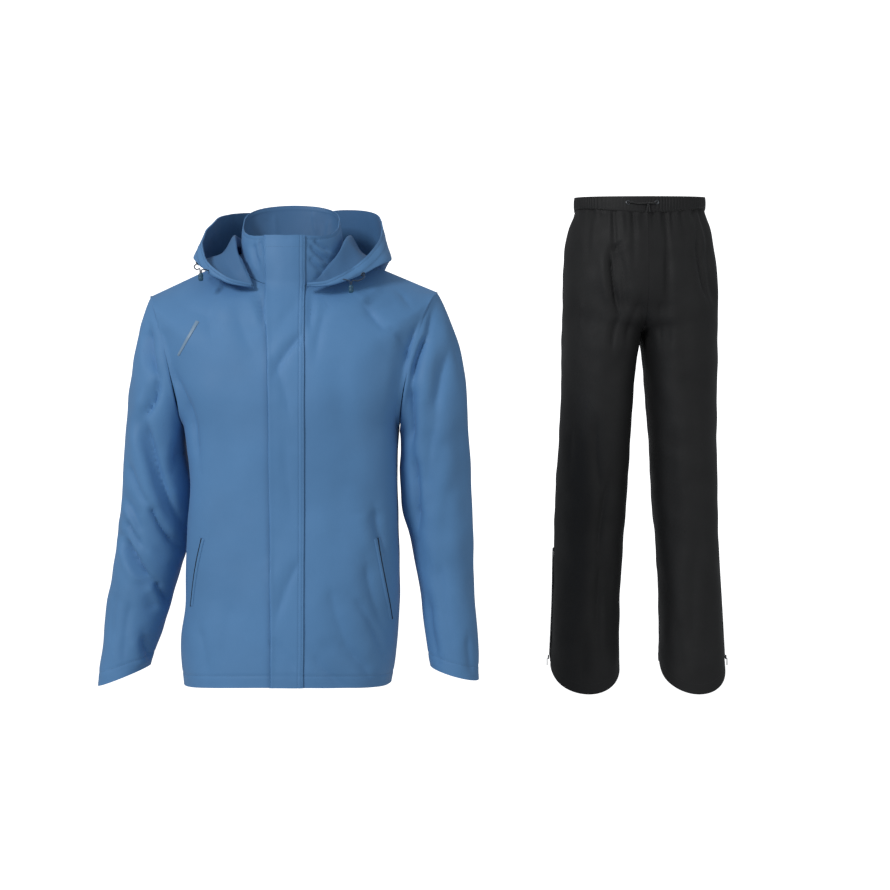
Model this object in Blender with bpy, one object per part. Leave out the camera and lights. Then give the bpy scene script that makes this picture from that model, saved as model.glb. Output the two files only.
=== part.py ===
# A rain suit as it is worn: a hooded jacket and a pair of overtrousers, each a hollow wall of coated cloth.
# Metres, +Z up, the front towards -Y and +X to the viewer's right. Left and right in names are the wearer's.
# The origin lies in the middle of the jacket's neck, where the wearer's shoulders carry it.
import math

import bpy
import numpy as np
from mathutils import Vector
from mathutils.bvhtree import BVHTree

# Driving sizes
CLOTH = 0.0018
SEAM = 0.0003
TRIM = 0.0010
LIES_OFF = 0.0008
STRIP_OFF = 0.0004

# Columns and rows of the panels' grids
FRONT_COLUMNS = 12
BACK_COLUMNS = 9
SHOULDER_ROWS = 2
ARMHOLE_ROWS = 9
SIDE_ROWS = 8
SLEEVE_ROWS = 17
COLLAR_ROWS = 3
LEG_BACK_COLUMNS = 9
HOOD_STATIONS = 13
HOOD_COLUMNS = 14

# Jacket sizes
ZIP_HALF_GAP = 0.0030
NECK_SIDE = (0.086, 0.006, 0.024)
SIDE_SEAM_Y = 0.008
PIT_Z = -0.285
SIDE_HEM_Z = -0.728
ARMHOLE_DEPTH = 0.075
ARMHOLE_EGG = 0.18
ARMHOLE_INSET = 0.011
COLLAR_LEAN = -0.004
HOOD_CLEARANCE = 0.0016
FLAP_COLUMNS = ((-1, 1.0), (-1, 0.5), (-1, 0.0), (1, 0.0), (1, 0.5), (1, 1.0))
FLAP_OVER_ZIP = 0.0035
POCKET_RIGHT = ((-0.1405, -0.471), (-0.1482, -0.501), (-0.1542, -0.530), (-0.1588, -0.559), (-0.1627, -0.587))
POCKET_LEFT = ((0.1520, -0.471), (0.1585, -0.508), (0.1648, -0.544), (0.1709, -0.580), (0.1752, -0.612))
POCKET_WIDTHS = (0.011, 0.008)
STRIPE = ((-0.1493, -0.107), (-0.1590, -0.127), (-0.1708, -0.147), (-0.1826, -0.165))
STRIPE_WIDTHS = (0.007, 0.004)
EYELET_RADIUS = 0.0042
STOPPER_LENGTH = 0.0130

# Trousers sizes
TROUSERS_AT = (0.685, 0.495, 0.0)
TONGUE_DROP = 0.056
BAND_WAVES = 30
BAND_WAVE_DEPTH = 0.0011
CORD = 0.0026


def table(names, rows):
    """A short table: each named column as an array down its rows."""
    return dict(zip(names.split(), np.array(rows, float).T))


WEARERS_LEFT = {"name": "left", "sign": 1, "tip": (0.2522, 0.004, -0.046), "pit": (0.1865, 0.006, PIT_Z)}
WEARERS_RIGHT = {"name": "right", "sign": -1, "tip": (0.2485, 0.004, -0.053), "pit": (0.1865, 0.006, PIT_Z)}
SIDES = (WEARERS_LEFT, WEARERS_RIGHT)

# Level 0 is the neck, 1 the shoulder tip, 2 the armpit and 3 the hem.
FRONT_MID = table("level y z reach", [
    (0.0, -0.081, -0.048, 0.048),
    (0.5, -0.097, -0.085, 0.085),
    (1.0, -0.111, -0.128, 0.125),
    (1.5, -0.125, -0.205, 0.132),
    (2.0, -0.130, -0.298, 0.128),
    (2.3, -0.126, -0.420, 0.120),
    (2.6, -0.130, -0.550, 0.125),
    (3.0, -0.136, -0.7137, 0.128),
])
FRONT_EDGE = table("level x y z", [
    (0.0, 0.004, -0.045, -0.046),
    (0.5, -0.010, -0.082, -0.046),
    (1.0, -0.026, -0.080, -0.050),
    (1.25, -0.042, -0.048, -0.030),
    (1.5, -0.060, -0.034, -0.006),
    (1.75, -0.042, -0.052, 0.000),
    (2.0, 0.000, -0.082, 0.000),
    (3.0, 0.000, -0.086, 0.000),
])
BACK_MID = table("level y z reach", [
    (0.0, 0.060, 0.030, 0.046),
    (0.5, 0.080, 0.000, 0.080),
    (1.0, 0.098, -0.060, 0.120),
    (1.5, 0.116, -0.165, 0.140),
    (2.0, 0.120, -0.290, 0.132),
    (2.3, 0.110, -0.420, 0.115),
    (2.6, 0.113, -0.555, 0.120),
    (3.0, 0.128, -0.738, 0.124),
])
BACK_EDGE = table("level x y z", [
    (0.0, 0.002, 0.034, 0.004),
    (0.5, -0.008, 0.052, -0.004),
    (1.0, -0.024, 0.066, -0.020),
    (1.25, -0.044, 0.040, -0.014),
    (1.5, -0.062, 0.026, -0.004),
    (1.75, -0.044, 0.046, 0.000),
    (2.0, 0.000, 0.078, 0.000),
    (3.0, 0.000, 0.082, 0.000),
])
# Half width of the body below the armpit, and how far it leans to the wearer's left
BODY_SIDE = table("z half lean", [
    (-0.7280, 0.1800, -0.0080),
    (-0.6900, 0.1855, -0.0065),
    (-0.6460, 0.1875, -0.0045),
    (-0.5900, 0.1840, 0.0015),
    (-0.5200, 0.1815, 0.0026),
    (-0.4500, 0.1775, 0.0036),
    (-0.3800, 0.1745, 0.0044),
    (-0.3300, 0.1785, 0.0020),
    (-0.2850, 0.1865, 0.0000),
    (-0.1500, 0.1900, 0.0000),
])
# Each row is a ring round the arm: its inner and outer point as seen from the front, its middle and half depth
SLEEVE_LEFT = table("along x_in z_in x_out z_out y depth bow", [
    (0.00, 0.1865, -0.285, 0.2522, -0.046, 0.005, 0.075, 1.0),
    (0.10, 0.1895, -0.300, 0.2815, -0.110, 0.006, 0.078, 0.7),
    (0.20, 0.1890, -0.325, 0.3010, -0.188, 0.008, 0.077, 0.3),
    (0.32, 0.1875, -0.362, 0.3080, -0.285, 0.012, 0.074, 0.0),
    (0.46, 0.1900, -0.418, 0.3125, -0.390, 0.017, 0.070, 0.0),
    (0.60, 0.2070, -0.492, 0.3155, -0.488, 0.020, 0.065, 0.0),
    (0.74, 0.2200, -0.560, 0.3172, -0.558, 0.017, 0.059, 0.0),
    (0.88, 0.2300, -0.640, 0.3235, -0.638, 0.009, 0.053, 0.0),
    (1.00, 0.2400, -0.700, 0.3255, -0.724, 0.000, 0.048, 0.0),
])
SLEEVE_RIGHT = table("along x_in z_in x_out z_out y depth bow", [
    (0.00, 0.1865, -0.285, 0.2485, -0.053, 0.005, 0.075, 1.0),
    (0.10, 0.1895, -0.300, 0.2690, -0.118, 0.006, 0.077, 0.7),
    (0.20, 0.1888, -0.325, 0.2815, -0.192, 0.008, 0.077, 0.3),
    (0.32, 0.1855, -0.362, 0.2925, -0.285, 0.012, 0.075, 0.0),
    (0.46, 0.1815, -0.418, 0.3010, -0.388, 0.017, 0.072, 0.0),
    (0.60, 0.1915, -0.495, 0.3115, -0.492, 0.020, 0.067, 0.0),
    (0.74, 0.2080, -0.562, 0.3215, -0.560, 0.017, 0.060, 0.0),
    (0.88, 0.2315, -0.640, 0.3312, -0.634, 0.009, 0.053, 0.0),
    (1.00, 0.2500, -0.700, 0.3395, -0.734, 0.000, 0.049, 0.0),
])
# The collar's top edge: turn is 0 at the front and 1 at the back
COLLAR_TOP = table("turn spread z", [
    (0.00, 0.96, 0.038),
    (0.30, 0.97, 0.045),
    (0.50, 0.97, 0.066),
    (0.70, 0.99, 0.102),
    (1.00, 1.02, 0.121),
])
# The storm flap's two edges as seen from the front
FLAP_EDGES = table("z left right", [
    (-0.740, -0.0210, 0.0328),
    (-0.570, -0.0226, 0.0333),
    (-0.400, -0.0249, 0.0336),
    (-0.274, -0.0262, 0.0339),
    (-0.174, -0.0288, 0.0332),
    (-0.070, -0.0352, 0.0298),
    (0.045, -0.0385, 0.0285),
])
# Sections of the open hood, each in the upright plane at its turn round the neck: degrees from the front
# towards the side, then out from the neck's middle and up, for the seam, crest, floor, belly and rim
HOOD_RIGHT = table("turn seam_o seam_u crest_o crest_u floor_o floor_u belly_o belly_u rim_o rim_u", [
    (37.0, 0.093, -0.052, 0.094, -0.048, 0.096, -0.049, 0.098, -0.048, 0.099, -0.044),
    (48.0, 0.096, -0.034, 0.097, -0.020, 0.108, -0.040, 0.124, -0.044, 0.126, -0.036),
    (62.0, 0.097, -0.006, 0.098, 0.008, 0.115, -0.016, 0.149, -0.024, 0.147, -0.010),
    (80.0, 0.096, 0.026, 0.098, 0.040, 0.122, 0.013, 0.168, 0.004, 0.153, 0.032),
    (100.0, 0.098, 0.032, 0.103, 0.052, 0.126, 0.008, 0.168, 0.010, 0.148, 0.072),
    (122.0, 0.095, 0.034, 0.104, 0.048, 0.140, -0.050, 0.176, 0.000, 0.154, 0.100),
    (148.0, 0.080, 0.036, 0.094, 0.040, 0.152, -0.120, 0.190, -0.030, 0.154, 0.114),
    (180.0, 0.074, 0.036, 0.086, 0.038, 0.158, -0.150, 0.196, -0.045, 0.152, 0.114),
])
HOOD_LEFT = table("turn seam_o seam_u crest_o crest_u floor_o floor_u belly_o belly_u rim_o rim_u", [
    (22.0, 0.091, -0.052, 0.092, -0.048, 0.094, -0.049, 0.096, -0.048, 0.097, -0.044),
    (38.0, 0.094, -0.042, 0.095, -0.030, 0.100, -0.043, 0.112, -0.048, 0.112, -0.040),
    (56.0, 0.095, -0.012, 0.097, 0.004, 0.112, -0.022, 0.136, -0.034, 0.134, -0.016),
    (80.0, 0.094, 0.026, 0.097, 0.042, 0.124, 0.012, 0.170, 0.000, 0.150, 0.030),
    (102.0, 0.096, 0.032, 0.102, 0.052, 0.128, 0.008, 0.172, 0.012, 0.158, 0.072),
    (122.0, 0.093, 0.034, 0.102, 0.048, 0.140, -0.050, 0.178, 0.004, 0.164, 0.104),
    (150.0, 0.078, 0.036, 0.092, 0.040, 0.152, -0.120, 0.190, -0.028, 0.156, 0.120),
    (180.0, 0.074, 0.036, 0.086, 0.038, 0.158, -0.150, 0.196, -0.045, 0.152, 0.114),
])
# Soft folds seen from the front: where each starts and ends, its half width and its depth
SLEEVE_FOLDS = table("x0 z0 x1 z1 wide deep", [
    (-0.2560, -0.270, -0.2020, -0.455, 0.013, 0.0065),
    (-0.2850, -0.395, -0.2110, -0.510, 0.014, 0.0065),
    (-0.3010, -0.455, -0.2500, -0.565, 0.013, 0.0050),
    (-0.2480, -0.545, -0.2330, -0.600, 0.012, 0.0040),
    (-0.2570, -0.110, -0.2350, -0.250, 0.013, 0.0040),
    (0.2700, -0.140, 0.2300, -0.330, 0.016, 0.0040),
    (0.2650, -0.300, 0.2350, -0.440, 0.014, 0.0030),
])
BODY_FOLDS = table("x0 z0 x1 z1 wide deep", [
    (-0.0720, -0.050, -0.0430, -0.130, 0.012, 0.0030),
    (-0.2150, -0.120, -0.1900, -0.215, 0.014, 0.0040),
    (0.1250, -0.075, 0.1950, -0.190, 0.015, 0.0035),
    (0.0600, -0.640, 0.1500, -0.690, 0.014, 0.0025),
    (0.2000, -0.100, 0.1750, -0.300, 0.013, 0.0040),
])
# Rows of the trousers' panels: level 0 is the waistband's seam, 1 the crotch and 2 the hem. The middle is the
# centre seam and then the inseam, and each hand says which way the cloth leaves its edge.
LEG_FRONT = table("level mid_x mid_y mid_z hand_x hand_y edge_left edge_right edge_z edge_hand", [
    (0.00, 0.0000, -0.100, 0.168, 0.078, 0.000, 0.1370, 0.1390, 0.187, -0.064),
    (0.15, 0.0000, -0.112, 0.125, 0.088, 0.000, 0.1500, 0.1565, 0.140, -0.070),
    (0.40, 0.0000, -0.119, 0.050, 0.094, 0.000, 0.1620, 0.1638, 0.060, -0.076),
    (0.70, 0.0000, -0.104, -0.025, 0.092, -0.012, 0.1650, 0.1660, -0.012, -0.084),
    (0.88, 0.0000, -0.066, -0.064, 0.040, -0.072, 0.1656, 0.1670, -0.058, -0.094),
    (1.00, 0.0012, 0.004, -0.085, 0.000, -0.154, 0.1656, 0.1677, -0.085, -0.118),
    (1.10, 0.0095, 0.006, -0.135, -0.007, -0.148, 0.1660, 0.1677, -0.135, -0.118),
    (1.30, 0.0195, 0.008, -0.274, -0.004, -0.132, 0.1645, 0.1720, -0.274, -0.114),
    (1.50, 0.0270, 0.009, -0.412, 0.000, -0.114, 0.1662, 0.1800, -0.412, -0.110),
    (1.70, 0.0370, 0.010, -0.550, 0.000, -0.104, 0.1700, 0.1850, -0.550, -0.102),
    (1.85, 0.0430, 0.010, -0.660, 0.000, -0.102, 0.1765, 0.1872, -0.660, -0.100),
    (2.00, 0.0430, 0.010, -0.782, 0.000, -0.104, 0.1835, 0.1925, -0.782, -0.102),
])
LEG_BACK = table("level mid_x mid_y mid_z hand_x hand_y edge_left edge_right edge_z edge_hand", [
    (0.00, 0.0000, 0.102, 0.196, 0.078, 0.000, 0.1370, 0.1390, 0.187, 0.064),
    (0.15, 0.0000, 0.114, 0.145, 0.088, 0.000, 0.1500, 0.1565, 0.140, 0.070),
    (0.40, 0.0000, 0.124, 0.060, 0.094, 0.000, 0.1620, 0.1638, 0.060, 0.078),
    (0.70, 0.0000, 0.116, -0.018, 0.092, 0.016, 0.1650, 0.1660, -0.012, 0.088),
    (0.88, 0.0000, 0.076, -0.062, 0.040, 0.078, 0.1656, 0.1670, -0.058, 0.102),
    (1.00, 0.0012, 0.004, -0.085, 0.000, 0.168, 0.1656, 0.1677, -0.085, 0.124),
    (1.10, 0.0095, 0.006, -0.135, -0.007, 0.160, 0.1660, 0.1677, -0.135, 0.124),
    (1.30, 0.0195, 0.008, -0.274, -0.004, 0.142, 0.1645, 0.1720, -0.274, 0.120),
    (1.50, 0.0270, 0.009, -0.412, 0.000, 0.118, 0.1662, 0.1800, -0.412, 0.114),
    (1.70, 0.0370, 0.010, -0.550, 0.000, 0.108, 0.1700, 0.1850, -0.550, 0.106),
    (1.85, 0.0430, 0.010, -0.660, 0.000, 0.104, 0.1765, 0.1872, -0.660, 0.102),
    (2.00, 0.0430, 0.010, -0.782, 0.000, 0.104, 0.1835, 0.1925, -0.782, 0.102),
])
LEG_LEVELS = (0.0, 0.07, 0.17, 0.3, 0.46, 0.62, 0.76, 0.88, 0.95, 1.0,
              1.07, 1.17, 1.32, 1.5, 1.68, 1.8, 1.9, 2.0)
# Gathers that hang from the waistband: distance from the centre seam at the top, drift and length, and depth
GATHERS_LEFT = table("x drift length deep", [
    (0.0120, 0.002, 0.050, 0.0025),
    (0.0365, 0.004, 0.190, 0.0060),
    (0.0530, -0.006, 0.070, 0.0040),
    (0.0735, 0.002, 0.080, 0.0035),
    (0.1020, 0.010, 0.150, 0.0045),
    (0.1180, 0.026, 0.230, 0.0050),
])
GATHERS_RIGHT = table("x drift length deep", [
    (0.0080, 0.004, 0.050, 0.0025),
    (0.0300, -0.002, 0.130, 0.0045),
    (0.0680, -0.010, 0.240, 0.0050),
    (0.0820, 0.000, 0.070, 0.0030),
    (0.0930, 0.002, 0.080, 0.0030),
    (0.1130, 0.002, 0.110, 0.0035),
])
LEG_FOLDS = table("x0 z0 x1 z1 wide deep", [
    (-0.0620, 0.100, -0.0460, -0.040, 0.010, 0.0050),
    (0.0410, 0.080, 0.0420, -0.120, 0.011, 0.0050),
    (0.1220, 0.100, 0.1500, -0.020, 0.010, 0.0045),
    (-0.0700, -0.560, -0.0640, -0.760, 0.018, 0.0050),
    (0.1400, -0.600, 0.1450, -0.770, 0.020, 0.0045),
    (-0.0300, -0.110, -0.0900, -0.190, 0.016, 0.0015),
    (0.0300, -0.110, 0.0900, -0.200, 0.016, 0.0015),
])
GATHER_HALF_WIDTH = 0.0065


# Curves, grids and folds

def smooth(keys, values, at):
    """A cubic line through a table's rows, each row's slope taken from its two neighbours."""
    slope = np.gradient(values, keys)
    row = np.clip(np.searchsorted(keys, at, side="right") - 1, 0, len(keys) - 2)
    gap = keys[row + 1] - keys[row]
    t = np.clip((at - keys[row]) / gap, 0, 1)
    rest = 1 - t
    ends = values[row] * rest**2 * (1 + 2 * t) + values[row + 1] * t**2 * (3 - 2 * t)
    return ends + gap * t * rest * (slope[row] * rest - slope[row + 1] * t)


def column(rows, key, at, *names):
    """Named columns of a table read at the given places, side by side."""
    return np.stack([smooth(rows[key], rows[name], at) for name in names], axis=-1)


def between(start, reach_start, reach_end, end, across):
    """Each row runs from start to end as a cubic curve that leaves both along their reaches."""
    t = across[None, :, None]
    a, b, c, d = (p[:, None, :] for p in (start, start + reach_start, end + reach_end, end))
    return a * (1 - t)**3 + 3 * b * (1 - t)**2 * t + 3 * c * (1 - t) * t**2 + d * t**3


def unit(v):
    """Directions of length 1."""
    return v / np.maximum(np.linalg.norm(v, axis=-1, keepdims=True), 1e-12)


def grid_normals(points, outside, closed=False):
    """The way out of a grid of points: across the rows and down the columns, turned towards outside."""
    if closed:
        around = np.concatenate([points[:, -1:], points, points[:, :1]], axis=1)
        across = around[:, 2:] - around[:, :-2]
    else:
        across = np.gradient(points, axis=1)
    normals = unit(np.cross(across, np.gradient(points, axis=0)))
    if (normals * (points - outside)).sum() < 0:
        normals = -normals
    return normals


def calm_edges(shape, sides):
    """1 over a grid, falling to 0 at the named edges, where the cloth is held by a seam."""
    calm = np.ones(shape)
    if "start" in sides:
        calm[:, 0] = 0
    if "end" in sides:
        calm[:, -1] = 0
        calm[:, -2] *= 0.7
    if "top" in sides:
        calm[0] = 0
        calm[1] *= 0.6
    return calm


def folded(points, normals, folds, calm, shift=0.0):
    """Sinks soft troughs into the side that faces -Y, where calm is above 0."""
    seen = np.clip(-normals[..., 1] * 2.0, 0, 1)
    depth = np.zeros(points.shape[:2])
    flat = points[..., [0, 2]] - np.array([shift, 0.0])
    for x0, z0, x1, z1, wide, deep in zip(*(folds[k] for k in ("x0", "z0", "x1", "z1", "wide", "deep"))):
        start = np.array([x0, z0])
        run = np.array([x1 - x0, z1 - z0])
        t = ((flat - start) @ run) / (run @ run)
        off = np.linalg.norm(flat - start - np.clip(t, 0, 1)[..., None] * run, axis=-1)
        ends = np.clip(np.minimum(t, 1 - t) * 4 + 0.3, 0, 1)
        depth += deep * ends * np.exp(-(off / wide)**2)
    return points - normals * (depth * seen * calm)[..., None]


def hung(points, normals, gathers, sign, band_z, calm):
    """Sinks the gathers that hang from the waistband, deepest at the top and fading downwards."""
    down = band_z[None, :] - points[..., 2]
    across = sign * (points[..., 0] - TROUSERS_AT[0])
    depth = np.zeros(down.shape)
    for x, drift, length, deep in zip(*(gathers[k] for k in ("x", "drift", "length", "deep"))):
        along = np.clip(down / length, 0, 1)
        off = across - x * (1 + 0.9 * np.minimum(down, 0.06)) - drift * along
        depth += deep * (1 - along)**0.8 * np.exp(-(off / GATHER_HALF_WIDTH)**2)
    return points - normals * (calm * depth)[..., None]


# Meshes

def volume(points, faces):
    """The volume that the faces close in, below zero where they point inwards."""
    corners = [(points[f[0]], points[f[k]], points[f[k + 1]]) for f in faces for k in range(1, len(f) - 1)]
    a, b, c = np.array(corners).transpose(1, 0, 2)
    return (np.cross(a, b) * c).sum() / 6


def mesh_object(name, points, faces, material, smooth_shade=True):
    """A closed mesh with its faces pointing out."""
    points = np.asarray(points).reshape(-1, 3)
    if volume(points, faces) < 0:
        faces = [tuple(reversed(face)) for face in faces]
    mesh = bpy.data.meshes.new(name)
    mesh.from_pydata(points.tolist(), [], faces)
    mesh.materials.append(material)
    mesh.update()
    if smooth_shade:
        mesh.shade_smooth()
        mesh.set_sharp_from_angle(angle=math.radians(50))
    obj = bpy.data.objects.new(name, mesh)
    bpy.context.scene.collection.objects.link(obj)
    return obj


def wall(name, outer, inner, material, closed=False):
    """A closed wall between two grids of points: both skins and the strips that join their edges."""
    rows, cols = outer.shape[:2]
    count = rows * cols
    last = cols if closed else cols - 1

    def at(row, col, skin):
        return skin * count + row * cols + col % cols

    faces = []
    for r in range(rows - 1):
        for c in range(last):
            faces.append((at(r, c, 0), at(r, c + 1, 0), at(r + 1, c + 1, 0), at(r + 1, c, 0)))
            faces.append((at(r, c, 1), at(r + 1, c, 1), at(r + 1, c + 1, 1), at(r, c + 1, 1)))
    for c in range(last):
        faces.append((at(0, c, 0), at(0, c, 1), at(0, c + 1, 1), at(0, c + 1, 0)))
        faces.append((at(rows - 1, c, 0), at(rows - 1, c + 1, 0), at(rows - 1, c + 1, 1), at(rows - 1, c, 1)))
    if not closed:
        for r in range(rows - 1):
            faces.append((at(r, 0, 0), at(r + 1, 0, 0), at(r + 1, 0, 1), at(r, 0, 1)))
            faces.append((at(r, last, 0), at(r, last, 1), at(r + 1, last, 1), at(r + 1, last, 0)))
    return mesh_object(name, np.concatenate([outer.reshape(-1, 3), inner.reshape(-1, 3)]), faces, material)


def pulled_in(points, sides, gap=SEAM / 2):
    """Draws the named edges of a grid in by half a seam's gap, along the cloth."""
    out = points.copy()
    if "top" in sides:
        out[0] += gap * unit(points[1] - points[0])
    if "bottom" in sides:
        out[-1] += gap * unit(points[-2] - points[-1])
    if "start" in sides:
        out[:, 0] += gap * unit(points[:, 1] - points[:, 0])
    if "end" in sides:
        out[:, -1] += gap * unit(points[:, -2] - points[:, -1])
    return out


def shared(first, second, least=0.2):
    """The mean of two panels' normals along a seam, where they turn the same way."""
    mean = unit(first + second)
    same = (first * second).sum(-1, keepdims=True) > least
    return np.where(same, mean, first), np.where(same, mean, second)


def material(name, colour, roughness, metallic=0.0):
    mat = bpy.data.materials.new(name)
    mat.use_nodes = True
    shader = mat.node_tree.nodes["Principled BSDF"]
    shader.inputs["Base Color"].default_value = (*colour, 1.0)
    shader.inputs["Roughness"].default_value = roughness
    shader.inputs["Metallic"].default_value = metallic
    return mat


# Jacket body

def armhole(side, turn, face):
    """The armhole from the shoulder tip (turn 0) down to the armpit (turn pi), bowed in towards the chest."""
    tip, pit = np.array(side["tip"]), np.array(side["pit"])
    middle, half = (tip + pit) / 2, (tip - pit) / 2
    bow = np.sin(turn) * (1 - ARMHOLE_EGG * np.cos(turn))
    line = middle + half * np.cos(turn)[:, None]
    line[:, 1] += face * ARMHOLE_DEPTH * bow
    line[:, 0] -= ARMHOLE_INSET * np.sin(turn)**2
    return line


def torso_edge(side, level, face):
    """Shoulder seam, armhole and side seam, one after the other."""
    neck, tip = np.array(NECK_SIDE), np.array(side["tip"])
    shoulder = neck + (tip - neck) * np.clip(level, 0, 1)[:, None]
    hole = armhole(side, np.clip(level - 1, 0, 1) * math.pi, face)
    z = PIT_Z + (SIDE_HEM_Z - PIT_Z) * np.clip(level - 2, 0, 1)
    seam = np.stack([smooth(BODY_SIDE["z"], BODY_SIDE["half"], z), np.full(len(z), SIDE_SEAM_Y), z], axis=-1)
    seam[:, 1] += (side["pit"][1] - SIDE_SEAM_Y) * (level <= 2)
    return np.where((level <= 1)[:, None], shoulder, np.where((level <= 2)[:, None], hole, seam))


def torso_levels():
    """The rows of the body's panels, closest together round the armhole."""
    shoulder = np.linspace(0, 1, SHOULDER_ROWS + 1)
    hole = np.linspace(1, 2, ARMHOLE_ROWS + 1)[1:]
    body = np.linspace(2, 3, SIDE_ROWS + 1)[1:]
    return np.concatenate([shoulder, hole, body])


def half_torso(side, face, level, across):
    """Half of the front (face -1) or of the back (face +1), from the middle out to its edge."""
    mid_rows, edge_rows = (FRONT_MID, FRONT_EDGE) if face < 0 else (BACK_MID, BACK_EDGE)
    y, z, reach = column(mid_rows, "level", level, "y", "z", "reach").T
    start = np.stack([np.zeros(len(level)), y, z], axis=-1)
    sideways = np.stack([reach, np.zeros(len(level)), np.zeros(len(level))], axis=-1)
    hand = column(edge_rows, "level", level, "x", "y", "z")
    points = between(start, sideways, hand, torso_edge(side, level, face), across)
    if face < 0:
        points[..., 0] = np.maximum(points[..., 0], 0) + ZIP_HALF_GAP * (1 - across[None, :])
    points[..., 0] *= side["sign"]
    points[..., 0] += lean_at(points[..., 2])
    return points


def lean_at(z):
    """How far the body leans to the wearer's left below the armpits; nothing above them."""
    return smooth(BODY_SIDE["z"], BODY_SIDE["lean"], np.clip(z, SIDE_HEM_Z, PIT_Z))


def body_axis(points):
    """The line down the middle of the body, at each point's own height."""
    return points * np.array([0.0, 0.0, 0.92]) - np.array([0, 0, 0.06])


def torso_grids():
    """The two fronts and the back as grids of points, with their normals."""
    level = torso_levels()
    across = np.linspace(0, 1, FRONT_COLUMNS + 1)
    grids = {}
    for side in SIDES:
        points = half_torso(side, -1, level, across)
        calm = calm_edges(points.shape[:2], "end")
        points = folded(points, grid_normals(points, body_axis(points)), BODY_FOLDS, calm)
        grids["front_" + side["name"]] = points
    across = np.linspace(0, 1, BACK_COLUMNS + 1)
    right = half_torso(WEARERS_RIGHT, 1, level, across)[:, ::-1]
    left = half_torso(WEARERS_LEFT, 1, level, across)
    grids["back"] = np.concatenate([right, left[:, 1:]], axis=1)
    return {name: (points, grid_normals(points, body_axis(points))) for name, points in grids.items()}


# Sleeves

def sleeve_grid(side):
    """Rings from the armhole to the cuff. Each starts at the shoulder tip and goes round by the front."""
    rows = SLEEVE_LEFT if side["sign"] > 0 else SLEEVE_RIGHT
    turn = np.linspace(0, math.pi, ARMHOLE_ROWS + 1)
    turns = np.concatenate([turn, turn[-2:0:-1]])
    faces = np.concatenate([-np.ones(ARMHOLE_ROWS + 1), np.ones(ARMHOLE_ROWS - 1)])
    along = np.linspace(0, 1, SLEEVE_ROWS + 1)
    x_in, z_in, x_out, z_out, y, depth, bow = column(
        rows, "along", along, "x_in", "z_in", "x_out", "z_out", "y", "depth", "bow").T[..., None]
    swing, reach = np.cos(turns)[None, :], (np.sin(turns) * faces)[None, :]
    x = (x_in + x_out) / 2 + (x_out - x_in) / 2 * swing - bow * ARMHOLE_INSET * reach**2
    z = (z_in + z_out) / 2 + (z_out - z_in) / 2 * swing
    points = np.stack([x * side["sign"], y + depth * reach * (1 - bow * ARMHOLE_EGG * swing), z], axis=-1)
    hole = np.concatenate([armhole(side, turn, -1), armhole(side, turn[-2:0:-1], 1)])
    points[0] = hole * np.array([side["sign"], 1, 1])
    axis = points.mean(axis=1, keepdims=True)
    normals = grid_normals(points, axis, closed=True)
    points = folded(points, normals, SLEEVE_FOLDS, calm_edges(points.shape[:2], "top"))
    return points, grid_normals(points, axis, closed=True)


def join_armholes(grids, sleeves):
    """Gives the body and each sleeve one normal at every stitch of the armhole."""
    hole = slice(SHOULDER_ROWS, SHOULDER_ROWS + ARMHOLE_ROWS + 1)
    for side in SIDES:
        sleeve = sleeves[side["name"]][1]
        front = grids["front_" + side["name"]][1]
        back = grids["back"][1]
        edge = -1 if side["sign"] > 0 else 0
        ring_front = np.arange(ARMHOLE_ROWS + 1)
        ring_back = np.r_[0, np.arange(2 * ARMHOLE_ROWS - 1, ARMHOLE_ROWS - 1, -1)]
        both = front[hole, -1], sleeve[0, ring_front]
        front[hole, -1], sleeve[0, ring_front] = shared(*both)
        both = back[hole, edge], sleeve[0, ring_back]
        back[hole, edge], sleeve[0, ring_back] = shared(*both)


def join_sides(grids):
    """Gives the fronts and the back one normal along the shoulder and side seams."""
    back = grids["back"][1]
    body = np.r_[0:SHOULDER_ROWS + 1, SHOULDER_ROWS + ARMHOLE_ROWS:back.shape[0]]
    for side in SIDES:
        front = grids["front_" + side["name"]][1]
        edge = -1 if side["sign"] > 0 else 0
        front[body, -1], back[body, edge] = shared(front[body, -1], back[body, edge])


def make_body(grids, sleeves, cloth):
    join_sides(grids)
    join_armholes(grids, sleeves)
    for name, (points, normals) in grids.items():
        edges = "top start end" if name == "back" else "top end"
        outer = pulled_in(points, edges, SEAM * 1.2)
        wall("jacket_" + name, outer, outer - normals * CLOTH, cloth)
    for side in SIDES:
        points, normals = sleeves[side["name"]]
        outer = pulled_in(points, "top", SEAM * 1.2)
        wall("jacket_sleeve_" + side["name"], outer, outer - normals * CLOTH, cloth, closed=True)


# Collar, storm flap and zip

def collar_grid(grids):
    """The stand collar: the neck's own stitches, carried up to the top edge in a soft curve."""
    right, left = grids["front_right"][0][0], grids["front_left"][0][0]
    back = grids["back"][0][0]
    base = np.concatenate([right, back[1:-1], left[::-1]])
    reach = np.concatenate([[0], np.cumsum(np.linalg.norm(np.diff(base, axis=0), axis=1))])
    turn = 1 - np.abs(2 * reach / reach[-1] - 1)
    spread, z = column(COLLAR_TOP, "turn", turn, "spread", "z").T
    top = base * np.stack([spread, spread, np.zeros(len(base))], axis=-1)
    top[:, 2] = z
    top[:, 0] += COLLAR_LEAN * np.sin(turn * math.pi / 2)
    t = np.linspace(0, 1, COLLAR_ROWS + 1)[:, None, None]
    points = base[None] * (1 - t) + top[None] * t
    points[..., :2] *= 1 + 0.03 * np.sin(t * math.pi)
    axis = points * np.array([0, 0, 1.0])
    return points, grid_normals(points, axis)


def make_collar(collar, cloth):
    points, normals = collar
    outer = points.copy()
    outer[0, :, 2] += 2 * SEAM
    wall("jacket_collar", outer, outer - normals * CLOTH, cloth)


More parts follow.
